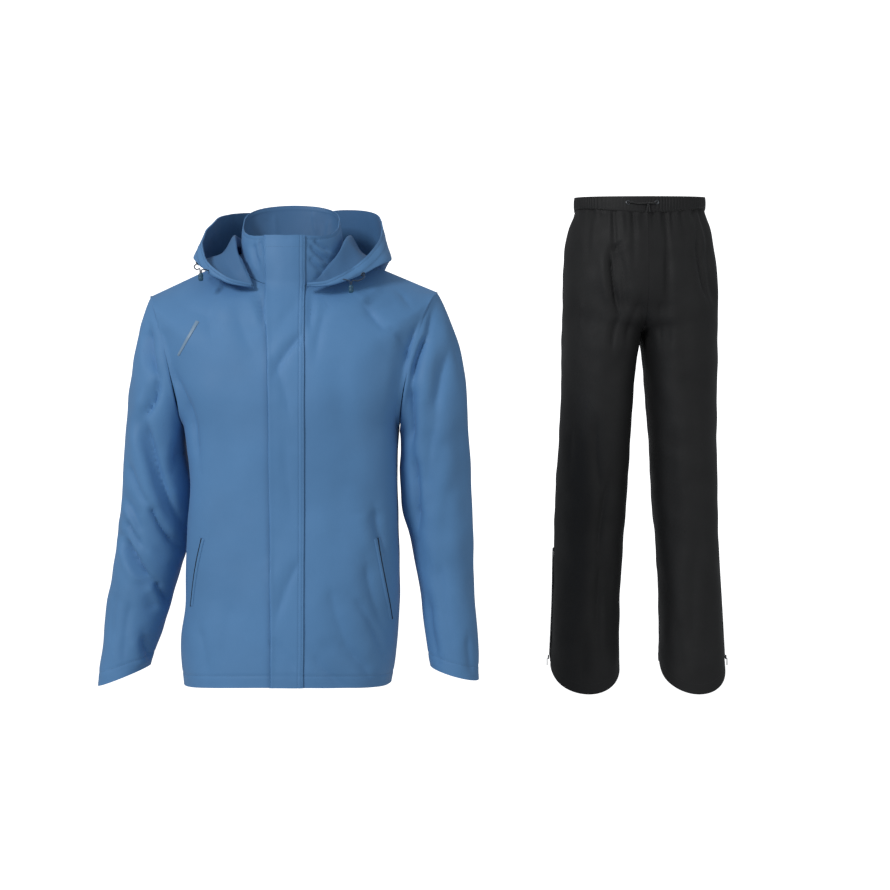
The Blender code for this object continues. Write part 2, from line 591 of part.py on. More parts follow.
def row_at(points, normals, x):
    """Where each row of a grid crosses the given distance from the middle, and the normal there."""
    at, out = [], []
    for row, normal in zip(points, normals):
        order = np.argsort(row[:, 0])
        at.append([np.interp(x, row[order, 0], row[order, k]) for k in range(3)])
        out.append([np.interp(x, row[order, 0], normal[order, k]) for k in range(3)])
    return np.array(at), np.array(out)


def flap_x(z, sign, share):
    """Where a column of the flap lies: a share of the way from beside the zip to the flap's own edge."""
    by_zip = sign * FLAP_OVER_ZIP + lean_at(z)
    edge = smooth(FLAP_EDGES["z"], FLAP_EDGES["right" if sign > 0 else "left"], z)
    return by_zip * (1 - share) + edge * share


def flap_lines(grids, collar, rise):
    """Lines from the hem to the collar's top, moved out over both fronts and the zip."""
    right, left = grids["front_right"], grids["front_left"]
    front = FRONT_COLUMNS + 1
    collar_right = collar[0][1:, :front], collar[1][1:, :front]
    collar_left = collar[0][1:, -front:], collar[1][1:, -front:]
    lines = []
    for sign, share in FLAP_COLUMNS:
        body, stand = (right, collar_right) if sign < 0 else (left, collar_left)
        middle = body[0][::-1, 0, 2]
        points, normals = row_at_each(body[0][::-1], body[1][::-1], flap_x(middle, sign, share))
        middle = stand[0][:, 0, 2] if sign < 0 else stand[0][:, -1, 2]
        top, top_normals = row_at_each(stand[0], stand[1], flap_x(middle, sign, share))
        neck = points[-1] * 0.5 + top[0] * 0.5
        points = np.concatenate([points[:-1], neck[None], top])
        normals = unit(np.concatenate([normals[:-1], unit(normals[-1:] + top_normals[:1]), top_normals]))
        lines.append(points + normals * rise)
    return np.stack(lines, axis=1)


def row_at_each(points, normals, xs):
    """As row_at, with a place of its own for each row."""
    pairs = [row_at(points[i:i + 1], normals[i:i + 1], x) for i, x in enumerate(xs)]
    return np.concatenate([p for p, _ in pairs]), np.concatenate([n for _, n in pairs])


def make_flap(grids, collar, cloth):
    inner = flap_lines(grids, collar, LIES_OFF + 2 * SEAM)
    outer = flap_lines(grids, collar, LIES_OFF + 2 * SEAM + CLOTH)
    for grid in (inner, outer):
        grid[0, :, 2] += 0.0004
        grid[-1, :, 2] -= 0.0004
    wall("jacket_storm_flap", outer, inner, cloth)


def make_front_zip(grids, collar, tape):
    """The closed zip's chain, in the gap between the fronts from the hem to the collar's top."""
    right, left = grids["front_right"], grids["front_left"]
    low = (right[0][::-1, 0] + left[0][::-1, 0]) / 2
    high = (collar[0][1:, 0] + collar[0][1:, -1]) / 2
    line = np.concatenate([low, high])
    half = ZIP_HALF_GAP - 2 * SEAM
    sideways = np.array([half, 0, 0])
    outer = np.stack([line - sideways, line + sideways], axis=1)
    wall("jacket_front_zip", outer, outer + np.array([0, 0.0015, 0]), tape)


# Hood

def hood_section(rows, turn, sign, columns):
    """Sections of the hood at the given turns, each from the neck seam over the crest to the rim.

    The last row's neighbour is repeated past the centre back, so that the hood runs over it smoothly.
    """
    names = ("seam", "crest", "floor", "belly", "rim")
    rows = {key: np.append(values, values[-2]) for key, values in rows.items()}
    rows["turn"][-1] = 2 * rows["turn"][-2] - rows["turn"][-1]
    out = column(rows, "turn", turn, *(n + "_o" for n in names))
    up = column(rows, "turn", turn, *(n + "_u" for n in names))
    knots = np.array([0.0, 0.16, 0.46, 0.76, 1.0])
    t = np.linspace(0, 1, columns)
    radius = np.stack([smooth(knots, row, t) for row in out])
    height = np.stack([smooth(knots, row, t) for row in up])
    angle = np.radians(turn)[:, None]
    middle_y = -0.010
    return np.stack([sign * radius * np.sin(angle), middle_y - radius * np.cos(angle), height], axis=-1)


def skin_tree(grids):
    """The jacket's outer skins as one tree of faces, to lay other cloth on."""
    points, faces = [], []
    for grid, normals, closed in grids:
        rows, cols = grid.shape[:2]
        start = len(points)
        points.extend(grid.reshape(-1, 3).tolist())
        for r in range(rows - 1):
            for c in range(cols if closed else cols - 1):
                a, b = start + r * cols + c, start + r * cols + (c + 1) % cols
                face = (a, b, b + cols, a + cols)
                way = np.cross(grid[r, (c + 1) % cols] - grid[r, c], grid[r + 1, c] - grid[r, c])
                faces.append(face if way @ normals[r, c] > 0 else face[::-1])
    return BVHTree.FromPolygons(points, faces)


def lift_off(point, tree, clearance):
    """How far, and which way, a point has to move to clear the skins."""
    near, normal, _, _ = tree.find_nearest(Vector(point))
    short = clearance - (Vector(point) - near).dot(normal)
    return np.array(normal) * max(short, 0.0)


def laid_on(points, tree, clearance, rounds=8):
    """Lifts a grid until its points, and the middles of its cells and edges, all clear the skins."""
    out = points.copy()
    steps = ((0, 0), (0.5, 0), (0, 0.5), (0.5, 0.5))
    for _ in range(rounds):
        move = np.zeros(out.shape)
        for r, c in np.ndindex(out.shape[:2]):
            for down, along in steps:
                r2, c2 = min(r + (down > 0), len(out) - 1), min(c + (along > 0), out.shape[1] - 1)
                ends = ((r, c), (r, c2), (r2, c), (r2, c2))
                lift = lift_off(np.mean([out[e] for e in ends], axis=0), tree, clearance)
                for e in ends if lift.any() else ():
                    move[e] = lift if np.linalg.norm(lift) > np.linalg.norm(move[e]) else move[e]
        out += move
        if not move.any():
            break
    return out


def hood_grid(side, tree):
    rows = HOOD_LEFT if side["sign"] > 0 else HOOD_RIGHT
    turn = np.linspace(rows["turn"][0], 180.0, HOOD_STATIONS)
    points = hood_section(rows, turn, side["sign"], HOOD_COLUMNS)
    points = laid_on(points, tree, HOOD_CLEARANCE)
    normals = unit(np.cross(np.gradient(points, axis=1), np.gradient(points, axis=0)))
    rim_out = np.array([points[-4, -2, 0], points[-4, -2, 1] + 0.010, 0])
    if normals[-4, -2] @ rim_out < 0:
        normals = -normals
    return points, normals


def make_hood(tree, cloth):
    hoods = {side["name"]: hood_grid(side, tree) for side in SIDES}
    left, right = hoods["left"][1], hoods["right"][1]
    left[-1], right[-1] = shared(left[-1], right[-1])
    for side in SIDES:
        points, normals = hoods[side["name"]]
        outer = pulled_in(points, "bottom")
        wall("jacket_hood_" + side["name"], outer, outer - normals * CLOTH, cloth)
        band = outer[:, -3:] + normals[:, -3:] * (SEAM + 0.0004)
        wall("jacket_hood_hem_" + side["name"], band + normals[:, -3:] * TRIM, band, cloth)
    return hoods


# Trousers

def leg_columns(gathers, side):
    """Places across a front so that each gather has a column, with one on each crest between."""
    sizes = gathers["x"]
    crests = np.concatenate([[0], (sizes[1:] + sizes[:-1]) / 2, [sizes[-1] + 0.009]])
    wanted = np.sort(np.concatenate([sizes, crests]))
    fine = np.linspace(0, 1, 400)
    row = half_legs(side, -1, np.array([0.0]), fine)[0]
    x = side["sign"] * (row[:, 0] - TROUSERS_AT[0])
    across = np.interp(wanted, x, fine)
    return np.concatenate([across, np.linspace(across[-1], 1, 4)[1:]])


def half_legs(side, face, level, across):
    """A front (face -1) or back (face +1) of one leg, from the centre seam and inseam out to the side seam."""
    rows = LEG_FRONT if face < 0 else LEG_BACK
    start = column(rows, "level", level, "mid_x", "mid_y", "mid_z")
    inseam = column(LEG_BACK, "level", level, "mid_x", "mid_y", "mid_z")
    start = np.where((level > 1)[:, None], inseam, start)
    hand = column(rows, "level", level, "hand_x", "hand_y")
    edge_x, edge_z, edge_hand = column(rows, "level", level, "edge_" + side["name"], "edge_z", "edge_hand").T
    none = np.zeros(len(level))
    reach = np.stack([hand[:, 0], hand[:, 1], none], axis=-1)
    end_y = smooth(np.array([0.0, 0.7, 1.2, 2.0]), np.array([0.0, 0.002, 0.006, 0.010]), level)
    end = np.stack([edge_x, end_y, edge_z], axis=-1)
    points = between(start, reach, np.stack([none, edge_hand, none], axis=-1), end, across)
    points[..., 0] = np.maximum(points[..., 0], 0)
    if face < 0:
        low = np.clip((level - 1.72) / 0.28, 0, 1)[:, None]**1.5
        hump = np.clip(np.sin(across * math.pi), 0, 1)**0.75
        points[..., 2] -= TONGUE_DROP * low * hump[None, :]
    points[..., 0] *= side["sign"]
    return points + np.array(TROUSERS_AT)


def leg_axis(points):
    """A line inside the cloth at each row, midway between its two edges."""
    middle = (points[:, :1] + points[:, -1:]) / 2
    middle[..., 1] = TROUSERS_AT[1] + 0.01
    return middle


def trousers_grids():
    level = np.array(LEG_LEVELS)
    grids = {}
    for side in SIDES:
        gathers = GATHERS_LEFT if side["sign"] > 0 else GATHERS_RIGHT
        across = leg_columns(gathers, side)
        points = half_legs(side, -1, level, across)
        normals = grid_normals(points, leg_axis(points))
        calm = calm_edges(points.shape[:2], "start end")
        points = hung(points, normals, gathers, side["sign"], points[0, :, 2], calm)
        points = folded(points, normals, LEG_FOLDS, calm, TROUSERS_AT[0])
        grids["front_" + side["name"]] = points, grid_normals(points, leg_axis(points))
        across = np.linspace(0, 1, LEG_BACK_COLUMNS + 1)
        points = half_legs(side, 1, level, across)
        grids["back_" + side["name"]] = points, grid_normals(points, leg_axis(points))
    return grids


def join_legs(grids):
    """Gives neighbouring panels one normal along the side seams, inseams and centre seams."""
    top = slice(0, LEG_LEVELS.index(1.0) + 1)
    for side in SIDES:
        front, back = grids["front_" + side["name"]][1], grids["back_" + side["name"]][1]
        front[:, -1], back[:, -1] = shared(front[:, -1], back[:, -1])
        low = slice(LEG_LEVELS.index(1.0), None)
        front[low, 0], back[low, 0] = shared(front[low, 0], back[low, 0], least=-0.98)
    for face in ("front_", "back_"):
        left, right = grids[face + "left"][1], grids[face + "right"][1]
        left[top, 0], right[top, 0] = shared(left[top, 0], right[top, 0])
        for normals in (left, right):
            normals[top, 0, 0] = 0
            normals[top, 0] = unit(normals[top, 0])


def make_legs(grids, cloth):
    join_legs(grids)
    for name, (points, normals) in grids.items():
        outer = pulled_in(points, "top start end")
        side = 1 if name.endswith("left") else -1
        top = slice(0, LEG_LEVELS.index(1.0) + 1)
        from_middle = side * (outer[top, 0, 0] - TROUSERS_AT[0])
        outer[top, 0, 0] += side * np.maximum(SEAM / 2 - from_middle, 0)
        wall("trousers_" + name, outer, outer - normals * CLOTH, cloth)


def band_ring(height):
    """The waistband's ring at a share of its height, with waves in its outer side where it is gathered."""
    fine = np.linspace(0, 1, 2 * BAND_WAVES // 4 * 2 + 1)
    quarters = []
    for side, face in ((WEARERS_LEFT, -1), (WEARERS_LEFT, 1), (WEARERS_RIGHT, 1), (WEARERS_RIGHT, -1)):
        row = half_legs(side, face, np.array([0.0]), fine)[0]
        forward = (side["sign"] > 0) == (face < 0)
        quarters.append(row[:-1] if forward else row[:0:-1])
    ring = np.concatenate(quarters)
    front = np.clip(0.5 - (ring[:, 1] - TROUSERS_AT[1]) / 0.2, 0, 1)
    top = 0.229 - 0.029 * front**1.2
    ring[:, 2] = ring[:, 2] * (1 - height) + top * height
    return ring


def make_waistband(cloth):
    """A band round the waist, its outer side in shallow upright waves over the elastic."""
    heights = np.array([0.0, 0.5, 1.0])
    rings = np.stack([band_ring(h) for h in heights])
    rings[0, :, 2] += 0.0006
    middle = rings.mean(axis=1, keepdims=True)
    normals = grid_normals(rings, middle, closed=True)
    count = rings.shape[1]
    wave = np.where(np.arange(count) % 2 == 0, 1.0, -1.0)
    calm = np.clip(np.abs(rings[..., 0] - TROUSERS_AT[0] + 0.02) / 0.05, 0.15, 1)
    outer = rings + normals * (0.0012 + BAND_WAVE_DEPTH * wave * calm * np.array([0.7, 1.0, 0.7])[:, None])[..., None]
    inner = rings - normals * 0.0008
    wall("trousers_waistband", outer, inner, cloth, closed=True)
    return outer, normals


# Small pieces

def frame_at(grid, x, z):
    """The point of a grid seen at (x, z), and its normal: first along every row, then down the rows."""
    points, normals = grid
    at, out = row_at(points, normals, x)
    order = np.argsort(at[:, 2])
    point = np.array([np.interp(z, at[order, 2], at[order, k]) for k in range(3)])
    normal = np.array([np.interp(z, at[order, 2], out[order, k]) for k in range(3)])
    return point, unit(normal)


def strip_on(name, grid, tree, line, widths, material_used, steps=9):
    """A strip that lies on a panel along a line of (x, z) places, with its width across the line."""
    outer, inner = [], []
    line = np.array(line, float)
    reach = np.linspace(0, 1, len(line))
    at = np.linspace(0, 1, steps)
    line = np.stack([smooth(reach, line[:, k], at) for k in (0, 1)], axis=-1)
    width = np.interp(at, (0, 1), widths)
    step = unit(np.gradient(line, axis=0))
    aside = np.stack([step[:, 1], -step[:, 0]], axis=-1)
    for place, turn, wide in zip(line, aside, width):
        spots = [frame_at(grid, *(place + turn * wide * share)) for share in (-0.5, 0.0, 0.5)]
        inner.append([point + normal * STRIP_OFF for point, normal in spots])
        outer.append([normal for _, normal in spots])
    inner = laid_on(np.array(inner), tree, STRIP_OFF)
    return wall(name, inner + np.array(outer) * TRIM, inner, material_used)


def washer(name, centre, normal, outer_r, inner_r, thick, material_used, sides=14):
    """An eyelet: a flat ring with a rounded outer face, its back on the cloth."""
    normal = unit(np.array(normal))
    aside = unit(np.cross(normal, [0.0, 0.0, 1.0]))
    above = np.cross(aside, normal)
    angle = np.linspace(0, 2 * math.pi, sides, endpoint=False)[:, None]
    round_about = np.cos(angle) * aside + np.sin(angle) * above
    middle_r = (outer_r + inner_r) / 2
    rings = [(outer_r, 0.0), (outer_r, thick * 0.5), (middle_r, thick), (inner_r, thick * 0.5), (inner_r, 0.0)]
    points = np.stack([centre + round_about * r + normal * h for r, h in rings])
    count = len(rings)
    faces = []
    for r in range(count):
        for s in range(sides):
            a, b = r * sides + s, r * sides + (s + 1) % sides
            c, d = ((r + 1) % count) * sides + (s + 1) % sides, ((r + 1) % count) * sides + s
            faces.append((a, d, c, b))
    return mesh_object(name, points, faces, material_used)


def cord(name, route, diameter, material_used, spacing=2.4):
    """A round cord through a few places: a smooth line through them, read at even steps."""
    route = np.array(route, float)
    reach = np.concatenate([[0], np.cumsum(np.linalg.norm(np.diff(route, axis=0), axis=1))])
    count = max(5, int(round(reach[-1] / (diameter * spacing))) + 1)
    at = np.linspace(0, reach[-1], count)
    line = np.stack([smooth(reach, route[:, k], at) for k in range(3)], axis=-1)
    curve = bpy.data.curves.new(name, "CURVE")
    curve.dimensions = "3D"
    curve.bevel_depth = diameter / 2
    curve.bevel_resolution = 2
    curve.use_fill_caps = True
    spline = curve.splines.new("POLY")
    spline.points.add(count - 1)
    for point, place in zip(spline.points, line):
        point.co = (*place, 1.0)
    curve.materials.append(material_used)
    obj = bpy.data.objects.new(name, curve)
    bpy.context.scene.collection.objects.link(obj)
    return obj


def barrel(name, top, radius, length, material_used, sides=12):
    """A cord stopper: a small upright barrel with a rounded top and foot, hanging from its top's middle."""
    rings = [(0.55, 0.0), (0.9, 0.10), (1.0, 0.32), (1.0, 0.68), (0.9, 0.90), (0.55, 1.0)]
    angle = np.linspace(0, 2 * math.pi, sides, endpoint=False)
    circle = np.stack([np.cos(angle), np.sin(angle) * 0.8, np.zeros(sides)], axis=-1)
    points = np.stack([np.array(top) + circle * radius * r - np.array([0, 0, length * h]) for r, h in rings])
    faces = [tuple(range(sides)), tuple(reversed(range((len(rings) - 1) * sides, len(rings) * sides)))]
    for r in range(len(rings) - 1):
        for s in range(sides):
            a, b = r * sides + s, r * sides + (s + 1) % sides
            faces.append((b, a, a + sides, b + sides))
    return mesh_object(name, points, faces, material_used)


def make_hood_cords(hoods, metal, cord_material, plastic):
    """On each side of the hood: an eyelet in its front, a stopper below it, and the cord's two strands."""
    for side in SIDES:
        points, normals = hoods[side["name"]]
        station, col = 3, HOOD_COLUMNS - 4
        spot, normal = points[station, col], normals[station, col]
        eyelet = spot + normal * (SEAM + 0.0002)
        washer("jacket_hood_eyelet_" + side["name"], eyelet, normal, EYELET_RADIUS, 0.0020, 0.0012, metal)
        second = points[station - 1, col + 1] + normals[station - 1, col + 1] * (SEAM + CORD / 2 + 0.0016)
        front = min(eyelet[1], second[1]) - 0.007
        top = np.array([(eyelet[0] * 0.45 + second[0] * 0.55), front - 0.004, eyelet[2] - 0.022])
        barrel("jacket_hood_stopper_" + side["name"], top, EYELET_RADIUS, STOPPER_LENGTH, plastic)
        aside = np.array([0.0013 * side["sign"], 0, 0])
        start = eyelet + normal * 0.0003
        first_end = top + aside + np.array([0, 0, SEAM])
        cord("jacket_hood_cord_" + side["name"],
             [start, start + normal * 0.0040, (start + first_end) / 2 + normal * 0.004,
              first_end + np.array([0, 0, 0.005]), first_end],
             CORD * 0.8, cord_material)
        last_end = top - aside + np.array([0, 0, SEAM])
        cord("jacket_hood_cord_end_" + side["name"],
             [second, second * 0.55 + last_end * 0.45 + np.array([0, -0.003, 0.003]),
              last_end + np.array([0, 0, 0.005]), last_end],
             CORD * 0.8, cord_material)


def make_pockets(grids, tree, cloth):
    """A slanting welt on each front, beside the pocket's opening."""
    for side in SIDES:
        line = POCKET_LEFT if side["sign"] > 0 else POCKET_RIGHT
        strip_on("jacket_pocket_welt_" + side["name"], grids["front_" + side["name"]], tree, line,
                 POCKET_WIDTHS, cloth)


def make_waist_cord(band, metal, cord_material):
    """The waistband's two eyelets, and the drawcord from each to a knot in the middle, with its two tails."""
    outer, normals = band
    x_left, x_right, z = 0.0190, -0.0400, 0.187
    knot_x, knot_z = 0.0005, 0.1835
    front = outer[1].copy(), normals[1].copy()
    near = outer[1][:, 1] < TROUSERS_AT[1]
    order = np.argsort(front[0][near, 0])
    xs = front[0][near, 0][order]
    ys = front[0][near, 1][order]
    knot_y = np.interp(TROUSERS_AT[0] + knot_x, xs, ys) - 0.0058
    knot = np.array([TROUSERS_AT[0] + knot_x, knot_y, knot_z])
    barrel("trousers_drawcord_knot", knot + np.array([0, 0, 0.0040]), 0.0050, 0.0080, cord_material)
    for name, x in (("left", x_left), ("right", x_right)):
        y = np.interp(TROUSERS_AT[0] + x, xs, ys) - 0.0014
        centre = np.array([TROUSERS_AT[0] + x, y, z])
        washer("trousers_eyelet_" + name, centre, (0, -1, 0), 0.0048, 0.0022, 0.0013, metal)
        toward = 1 if x > 0 else -1
        start = centre + np.array([0, -0.0003, 0])
        end = knot + np.array([toward * 0.0056, 0, 0.0005])
        middle = (start + end) / 2 + np.array([0, -0.0012, -0.0012])
        cord("trousers_drawcord_" + name, [start, start + np.array([-toward * 0.002, -0.0032, 0]), middle, end],
             CORD, cord_material)
        tail = knot + np.array([toward * 0.0018, 0, -0.0040 - SEAM])
        cord("trousers_drawcord_tail_" + name,
             [tail, tail + np.array([toward * 0.0004, 0, -0.006]), tail + np.array([toward * 0.0014, 0, -0.0130])],
             CORD, cord_material)


def make_ankle_zips(grids, tape, metal):
    """A short zip over each side seam at the ankle, with its slider at the foot and the slider's pull tab."""
    low = LEG_LEVELS.index(1.68)
    for side in SIDES:
        front, back = grids["front_" + side["name"]], grids["back_" + side["name"]]
        points = np.stack([front[0][low:, -2] * 0.35 + front[0][low:, -1] * 0.65, front[0][low:, -1],
                           back[0][low:, -2] * 0.35 + back[0][low:, -1] * 0.65], axis=1)
        normals = np.stack([front[1][low:, -1]] * 3, axis=1)
        inner = points + normals * (STRIP_OFF + SEAM)
        inner[-1, :, 2] = inner[-1, 1, 2] + 0.002
        wall("trousers_ankle_zip_" + side["name"], inner + normals * TRIM, inner, tape)
        foot = inner[-1, 1] + normals[-1, 1] * (TRIM + SEAM)
        out = np.array([side["sign"], 0.0, 0.0])
        make_slider(side, foot, out, metal)


def make_slider(side, foot, out, metal):
    """The zip's slider, and the pull tab that hangs just outside it and swings on its pin."""
    half_w, tall, thick = 0.0030, 0.0090, 0.0026
    base = foot + np.array([0, 0, 0.0030])
    box("trousers_slider_" + side["name"], base + out * thick / 2 + np.array([0, 0, tall / 2]),
        (thick, 2 * half_w, tall), metal)
    pin = base + out * (thick + 0.0015) + np.array([0, 0, 0.0012])
    tab_long, tab_thick, tab_wide = 0.0160, 0.0014, 0.0040
    centre = pin - np.array([0, 0, tab_long / 2 - 0.0012])
    obj = box("trousers_pull_tab_" + side["name"], centre, (tab_thick, tab_wide, tab_long), metal)
    print("pull tab", side["name"], "axis through", [round(float(v), 5) for v in pin])
    return obj


def box(name, centre, size, material_used):
    """A plain block with its sides along the axes."""
    half = np.array(size) / 2
    corners = np.array([(x, y, z) for x in (-1, 1) for y in (-1, 1) for z in (-1, 1)]) * half + np.array(centre)
    faces = [(0, 1, 3, 2), (4, 6, 7, 5), (0, 4, 5, 1), (2, 3, 7, 6), (0, 2, 6, 4), (1, 5, 7, 3)]
    return mesh_object(name, corners, faces, material_used, smooth_shade=False)


def clear_scene():
    for obj in list(bpy.data.objects):
        bpy.data.objects.remove(obj)


def main():
    clear_scene()
    blue = material("blue_coated_cloth", (0.105, 0.235, 0.386), 0.62)
    dark_blue = material("dark_blue_cord", (0.020, 0.060, 0.120), 0.55)
    blue_zip = material("dark_blue_zip_chain", (0.020, 0.060, 0.120), 0.50)
    black = material("black_coated_cloth", (0.018, 0.018, 0.019), 0.66)
    black_tape = material("black_zip_tape", (0.010, 0.010, 0.011), 0.60)
    pale = material("pale_reflective_tape", (0.320, 0.400, 0.470), 0.35)
    metal = material("dull_metal", (0.300, 0.310, 0.320), 0.35, 0.9)
    plastic = material("dark_plastic", (0.030, 0.080, 0.130), 0.40)

    grids = torso_grids()
    sleeves = {side["name"]: sleeve_grid(side) for side in SIDES}
    make_body(grids, sleeves, blue)
    collar = collar_grid(grids)
    make_collar(collar, blue)
    make_flap(grids, collar, blue)
    make_front_zip(grids, collar, blue_zip)
    skins = [(*grids[name], False) for name in grids] + [(*collar, False)]
    tree = skin_tree(skins + [(*sleeve, True) for sleeve in sleeves.values()])
    hoods = make_hood(tree, blue)
    make_hood_cords(hoods, metal, dark_blue, plastic)
    make_pockets(grids, tree, blue)
    strip_on("jacket_reflective_stripe", grids["front_right"], tree, STRIPE, STRIPE_WIDTHS, pale)

    legs = trousers_grids()
    make_legs(legs, black)
    band = make_waistband(black)
    make_waist_cord(band, metal, black_tape)
    make_ankle_zips(legs, black_tape, metal)


main()
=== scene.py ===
# %% [markdown]
# # A rain suit
# This script dresses a rain suit: a hooded jacket of blue coated cloth and a pair of black overtrousers. The
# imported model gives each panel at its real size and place, as a plain wall. Here every panel becomes a thin shell
# of cloth with its creases, stitching and finish, and the small trims get their real detail.
#
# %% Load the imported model
import math

import bmesh
import bpy
import numpy as np
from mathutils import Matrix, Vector


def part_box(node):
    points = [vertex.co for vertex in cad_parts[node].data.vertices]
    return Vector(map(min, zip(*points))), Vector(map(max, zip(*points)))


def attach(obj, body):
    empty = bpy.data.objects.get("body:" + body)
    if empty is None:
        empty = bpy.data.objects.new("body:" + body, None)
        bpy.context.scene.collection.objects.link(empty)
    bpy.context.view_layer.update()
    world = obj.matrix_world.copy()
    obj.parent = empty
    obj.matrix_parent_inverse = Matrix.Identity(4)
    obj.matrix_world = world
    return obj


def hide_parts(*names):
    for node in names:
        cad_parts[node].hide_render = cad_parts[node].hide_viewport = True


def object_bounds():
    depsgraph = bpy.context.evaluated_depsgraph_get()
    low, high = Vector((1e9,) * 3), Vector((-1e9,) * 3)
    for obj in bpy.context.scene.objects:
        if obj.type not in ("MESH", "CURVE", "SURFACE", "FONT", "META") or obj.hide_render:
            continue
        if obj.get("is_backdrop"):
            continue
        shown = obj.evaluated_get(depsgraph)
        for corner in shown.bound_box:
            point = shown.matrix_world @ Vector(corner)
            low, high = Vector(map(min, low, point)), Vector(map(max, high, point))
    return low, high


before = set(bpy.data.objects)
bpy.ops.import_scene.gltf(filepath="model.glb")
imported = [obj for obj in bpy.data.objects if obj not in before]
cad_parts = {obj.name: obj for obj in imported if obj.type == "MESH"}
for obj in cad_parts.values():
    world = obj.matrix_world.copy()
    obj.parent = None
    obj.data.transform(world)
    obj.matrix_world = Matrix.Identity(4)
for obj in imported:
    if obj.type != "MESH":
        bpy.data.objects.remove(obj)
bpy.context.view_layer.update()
SUIT = "suit"

# %% [markdown]
# The camera stands where the photograph was taken from: level with the jacket's middle, and between the two
# garments, so that each is seen a little from its inner side. It comes first, because everything else is judged
# through it.
#
# %% Place the camera
camera_data = bpy.data.cameras.new("camera")
camera_data.lens = 50
camera_data.sensor_width = 36
camera = bpy.data.objects.new("camera", camera_data)
camera.location = (0.266, -2.163, -0.315)
camera.rotation_euler = (math.pi / 2, 0, 0)
bpy.context.scene.collection.objects.link(camera)
bpy.context.scene.camera = camera
print("camera at", tuple(camera.location))

# %% [markdown]
# Every panel is a surface of two parameters, one across the cloth and one down it. Short tables give its
# measurements at a few levels, and a smooth cubic line reads them in between. Each row of the surface is then one
# cubic curve from the panel's middle to its seam, so a few sizes give the whole drape.
#
# %% Tables and curves

def table(names, rows):
    """A short table: each named column as an array down its rows."""
    return dict(zip(names.split(), np.array(rows, float).T))


def smooth(keys, values, at):
    """A cubic line through a table's rows: each row's slope is the rise over the run between its neighbours."""
    slope = np.gradient(values, keys)
    row = np.clip(np.searchsorted(keys, at, side="right") - 1, 0, len(keys) - 2)
    gap = keys[row + 1] - keys[row]
    t = np.clip((at - keys[row]) / gap, 0, 1)
    rest = 1 - t
    ends = values[row] * rest**2 * (1 + 2 * t) + values[row + 1] * t**2 * (3 - 2 * t)
    return ends + gap * t * rest * (slope[row] * rest - slope[row + 1] * t)


def column(rows, key, at, *names):
    """Named columns of a table read at the given places, side by side."""
    return np.stack([smooth(rows[key], rows[name], at) for name in names], axis=-1)


def between(start, reach_start, reach_end, end, across):
    """A cubic curve for each row: it leaves start and end along their reaches (Bezier's four weights)."""
    t = across[None, :, None]
    a, b, c, d = (p[:, None, :] for p in (start, start + reach_start, end + reach_end, end))
    return a * (1 - t)**3 + 3 * b * (1 - t)**2 * t + 3 * c * (1 - t) * t**2 + d * t**3


def unit(v):
    """Directions of length 1."""
    return v / np.maximum(np.linalg.norm(v, axis=-1, keepdims=True), 1e-12)


def ease(t):
    """0 below 0, 1 above 1, and a soft step between: 3t^2 - 2t^3."""
    t = np.clip(t, 0, 1)
    return t * t * (3 - 2 * t)


def facing(points, inside, closed=False):
    """The way out of a grid: the cross product of its two directions, turned away from the inside points."""
    if closed:
        ring = np.concatenate([points[:, -1:], points, points[:, :1]], axis=1)
        across = ring[:, 2:] - ring[:, :-2]
    else:
        across = np.gradient(points, axis=1)
    normals = unit(np.cross(across, np.gradient(points, axis=0)))
    return -normals if (normals * (points - inside)).sum() < 0 else normals


print("curve helpers ready")

# %% [markdown]
# Cloth folds where it is pushed together. A crease is drawn as a soft trough beside a low ridge, along a line that
# bows a little. Its row in a table says where it starts and ends as seen from the front, how far it bows, and its
# half width and depth. The depth dies away at both ends, and at seams, which hold the cloth in place.
#
# %% Creases

def creased(points, normals, creases, side=-1, calm=1.0, lip=0.35, strength=1.45):
    """Moves a grid in along its normals: a bell curve across each crease, less a lower bell beside it.

    The distance off the crease's bowed line sets the bell, which comes to a narrow foot as pressed cloth does,
    and the place along it sets how deep it is.
    side says which face takes the creases: -1 the front, +1 the back."""
    seen = ease(side * normals[..., 1] * 1.8 + 0.15)
    flat = points[..., [0, 2]]
    depth = np.zeros(flat.shape[:2])
    for x0, z0, x1, z1, bow, wide, deep in np.stack(list(creases.values()), axis=-1):
        start, run = np.array([x0, z0]), np.array([x1 - x0, z1 - z0])
        length = np.linalg.norm(run)
        aside = np.array([run[1], -run[0]]) / length
        t = (flat - start) @ run / length**2
        along = np.clip(t, 0, 1)
        off = (flat - start) @ aside - bow * 4 * along * (1 - along)
        past = np.abs(t - along) * length / wide
        fade = (0.25 + 0.75 * ease(np.minimum(along * 5, (1 - along) * 3))) * np.exp(-past**2)
        near = np.sqrt(off**2 + 0.0024**2) - 0.0024
        sharp = np.clip((0.018 - wide) / 0.006, 0, 1)
        bell = sharp * np.exp(-near / (0.55 * wide)) + (1 - sharp) * np.exp(-(off / wide)**2) - lip * np.exp(-((off - 1.9 * wide) / (1.2 * wide))**2)
        depth += strength * deep * fade * bell
    return points - normals * (depth * seen * calm)[..., None]


CREASE = "x0 z0 x1 z1 bow wide deep"


def held(shape, top=False, bottom=False, start=False, end=False, reach=0.06):
    """1 over a grid and 0 on its sewn edges, with an eased rise over a share of the grid beside each."""
    down, across = np.linspace(0, 1, shape[0])[:, None], np.linspace(0, 1, shape[1])[None, :]
    calm = np.ones(shape[:2])
    for is_held, distance in ((top, down), (bottom, 1 - down), (start, across), (end, 1 - across)):
        if is_held:
            calm = calm * ease(distance / reach)
    return calm


def evened(a, rounds):
    """Softens a grid down its columns: each row moves halfway to the mean of its two neighbours."""
    a = a.copy()
    for _ in range(rounds):
        a[1:-1] = a[1:-1] * 0.5 + (a[2:] + a[:-2]) * 0.25
    return a


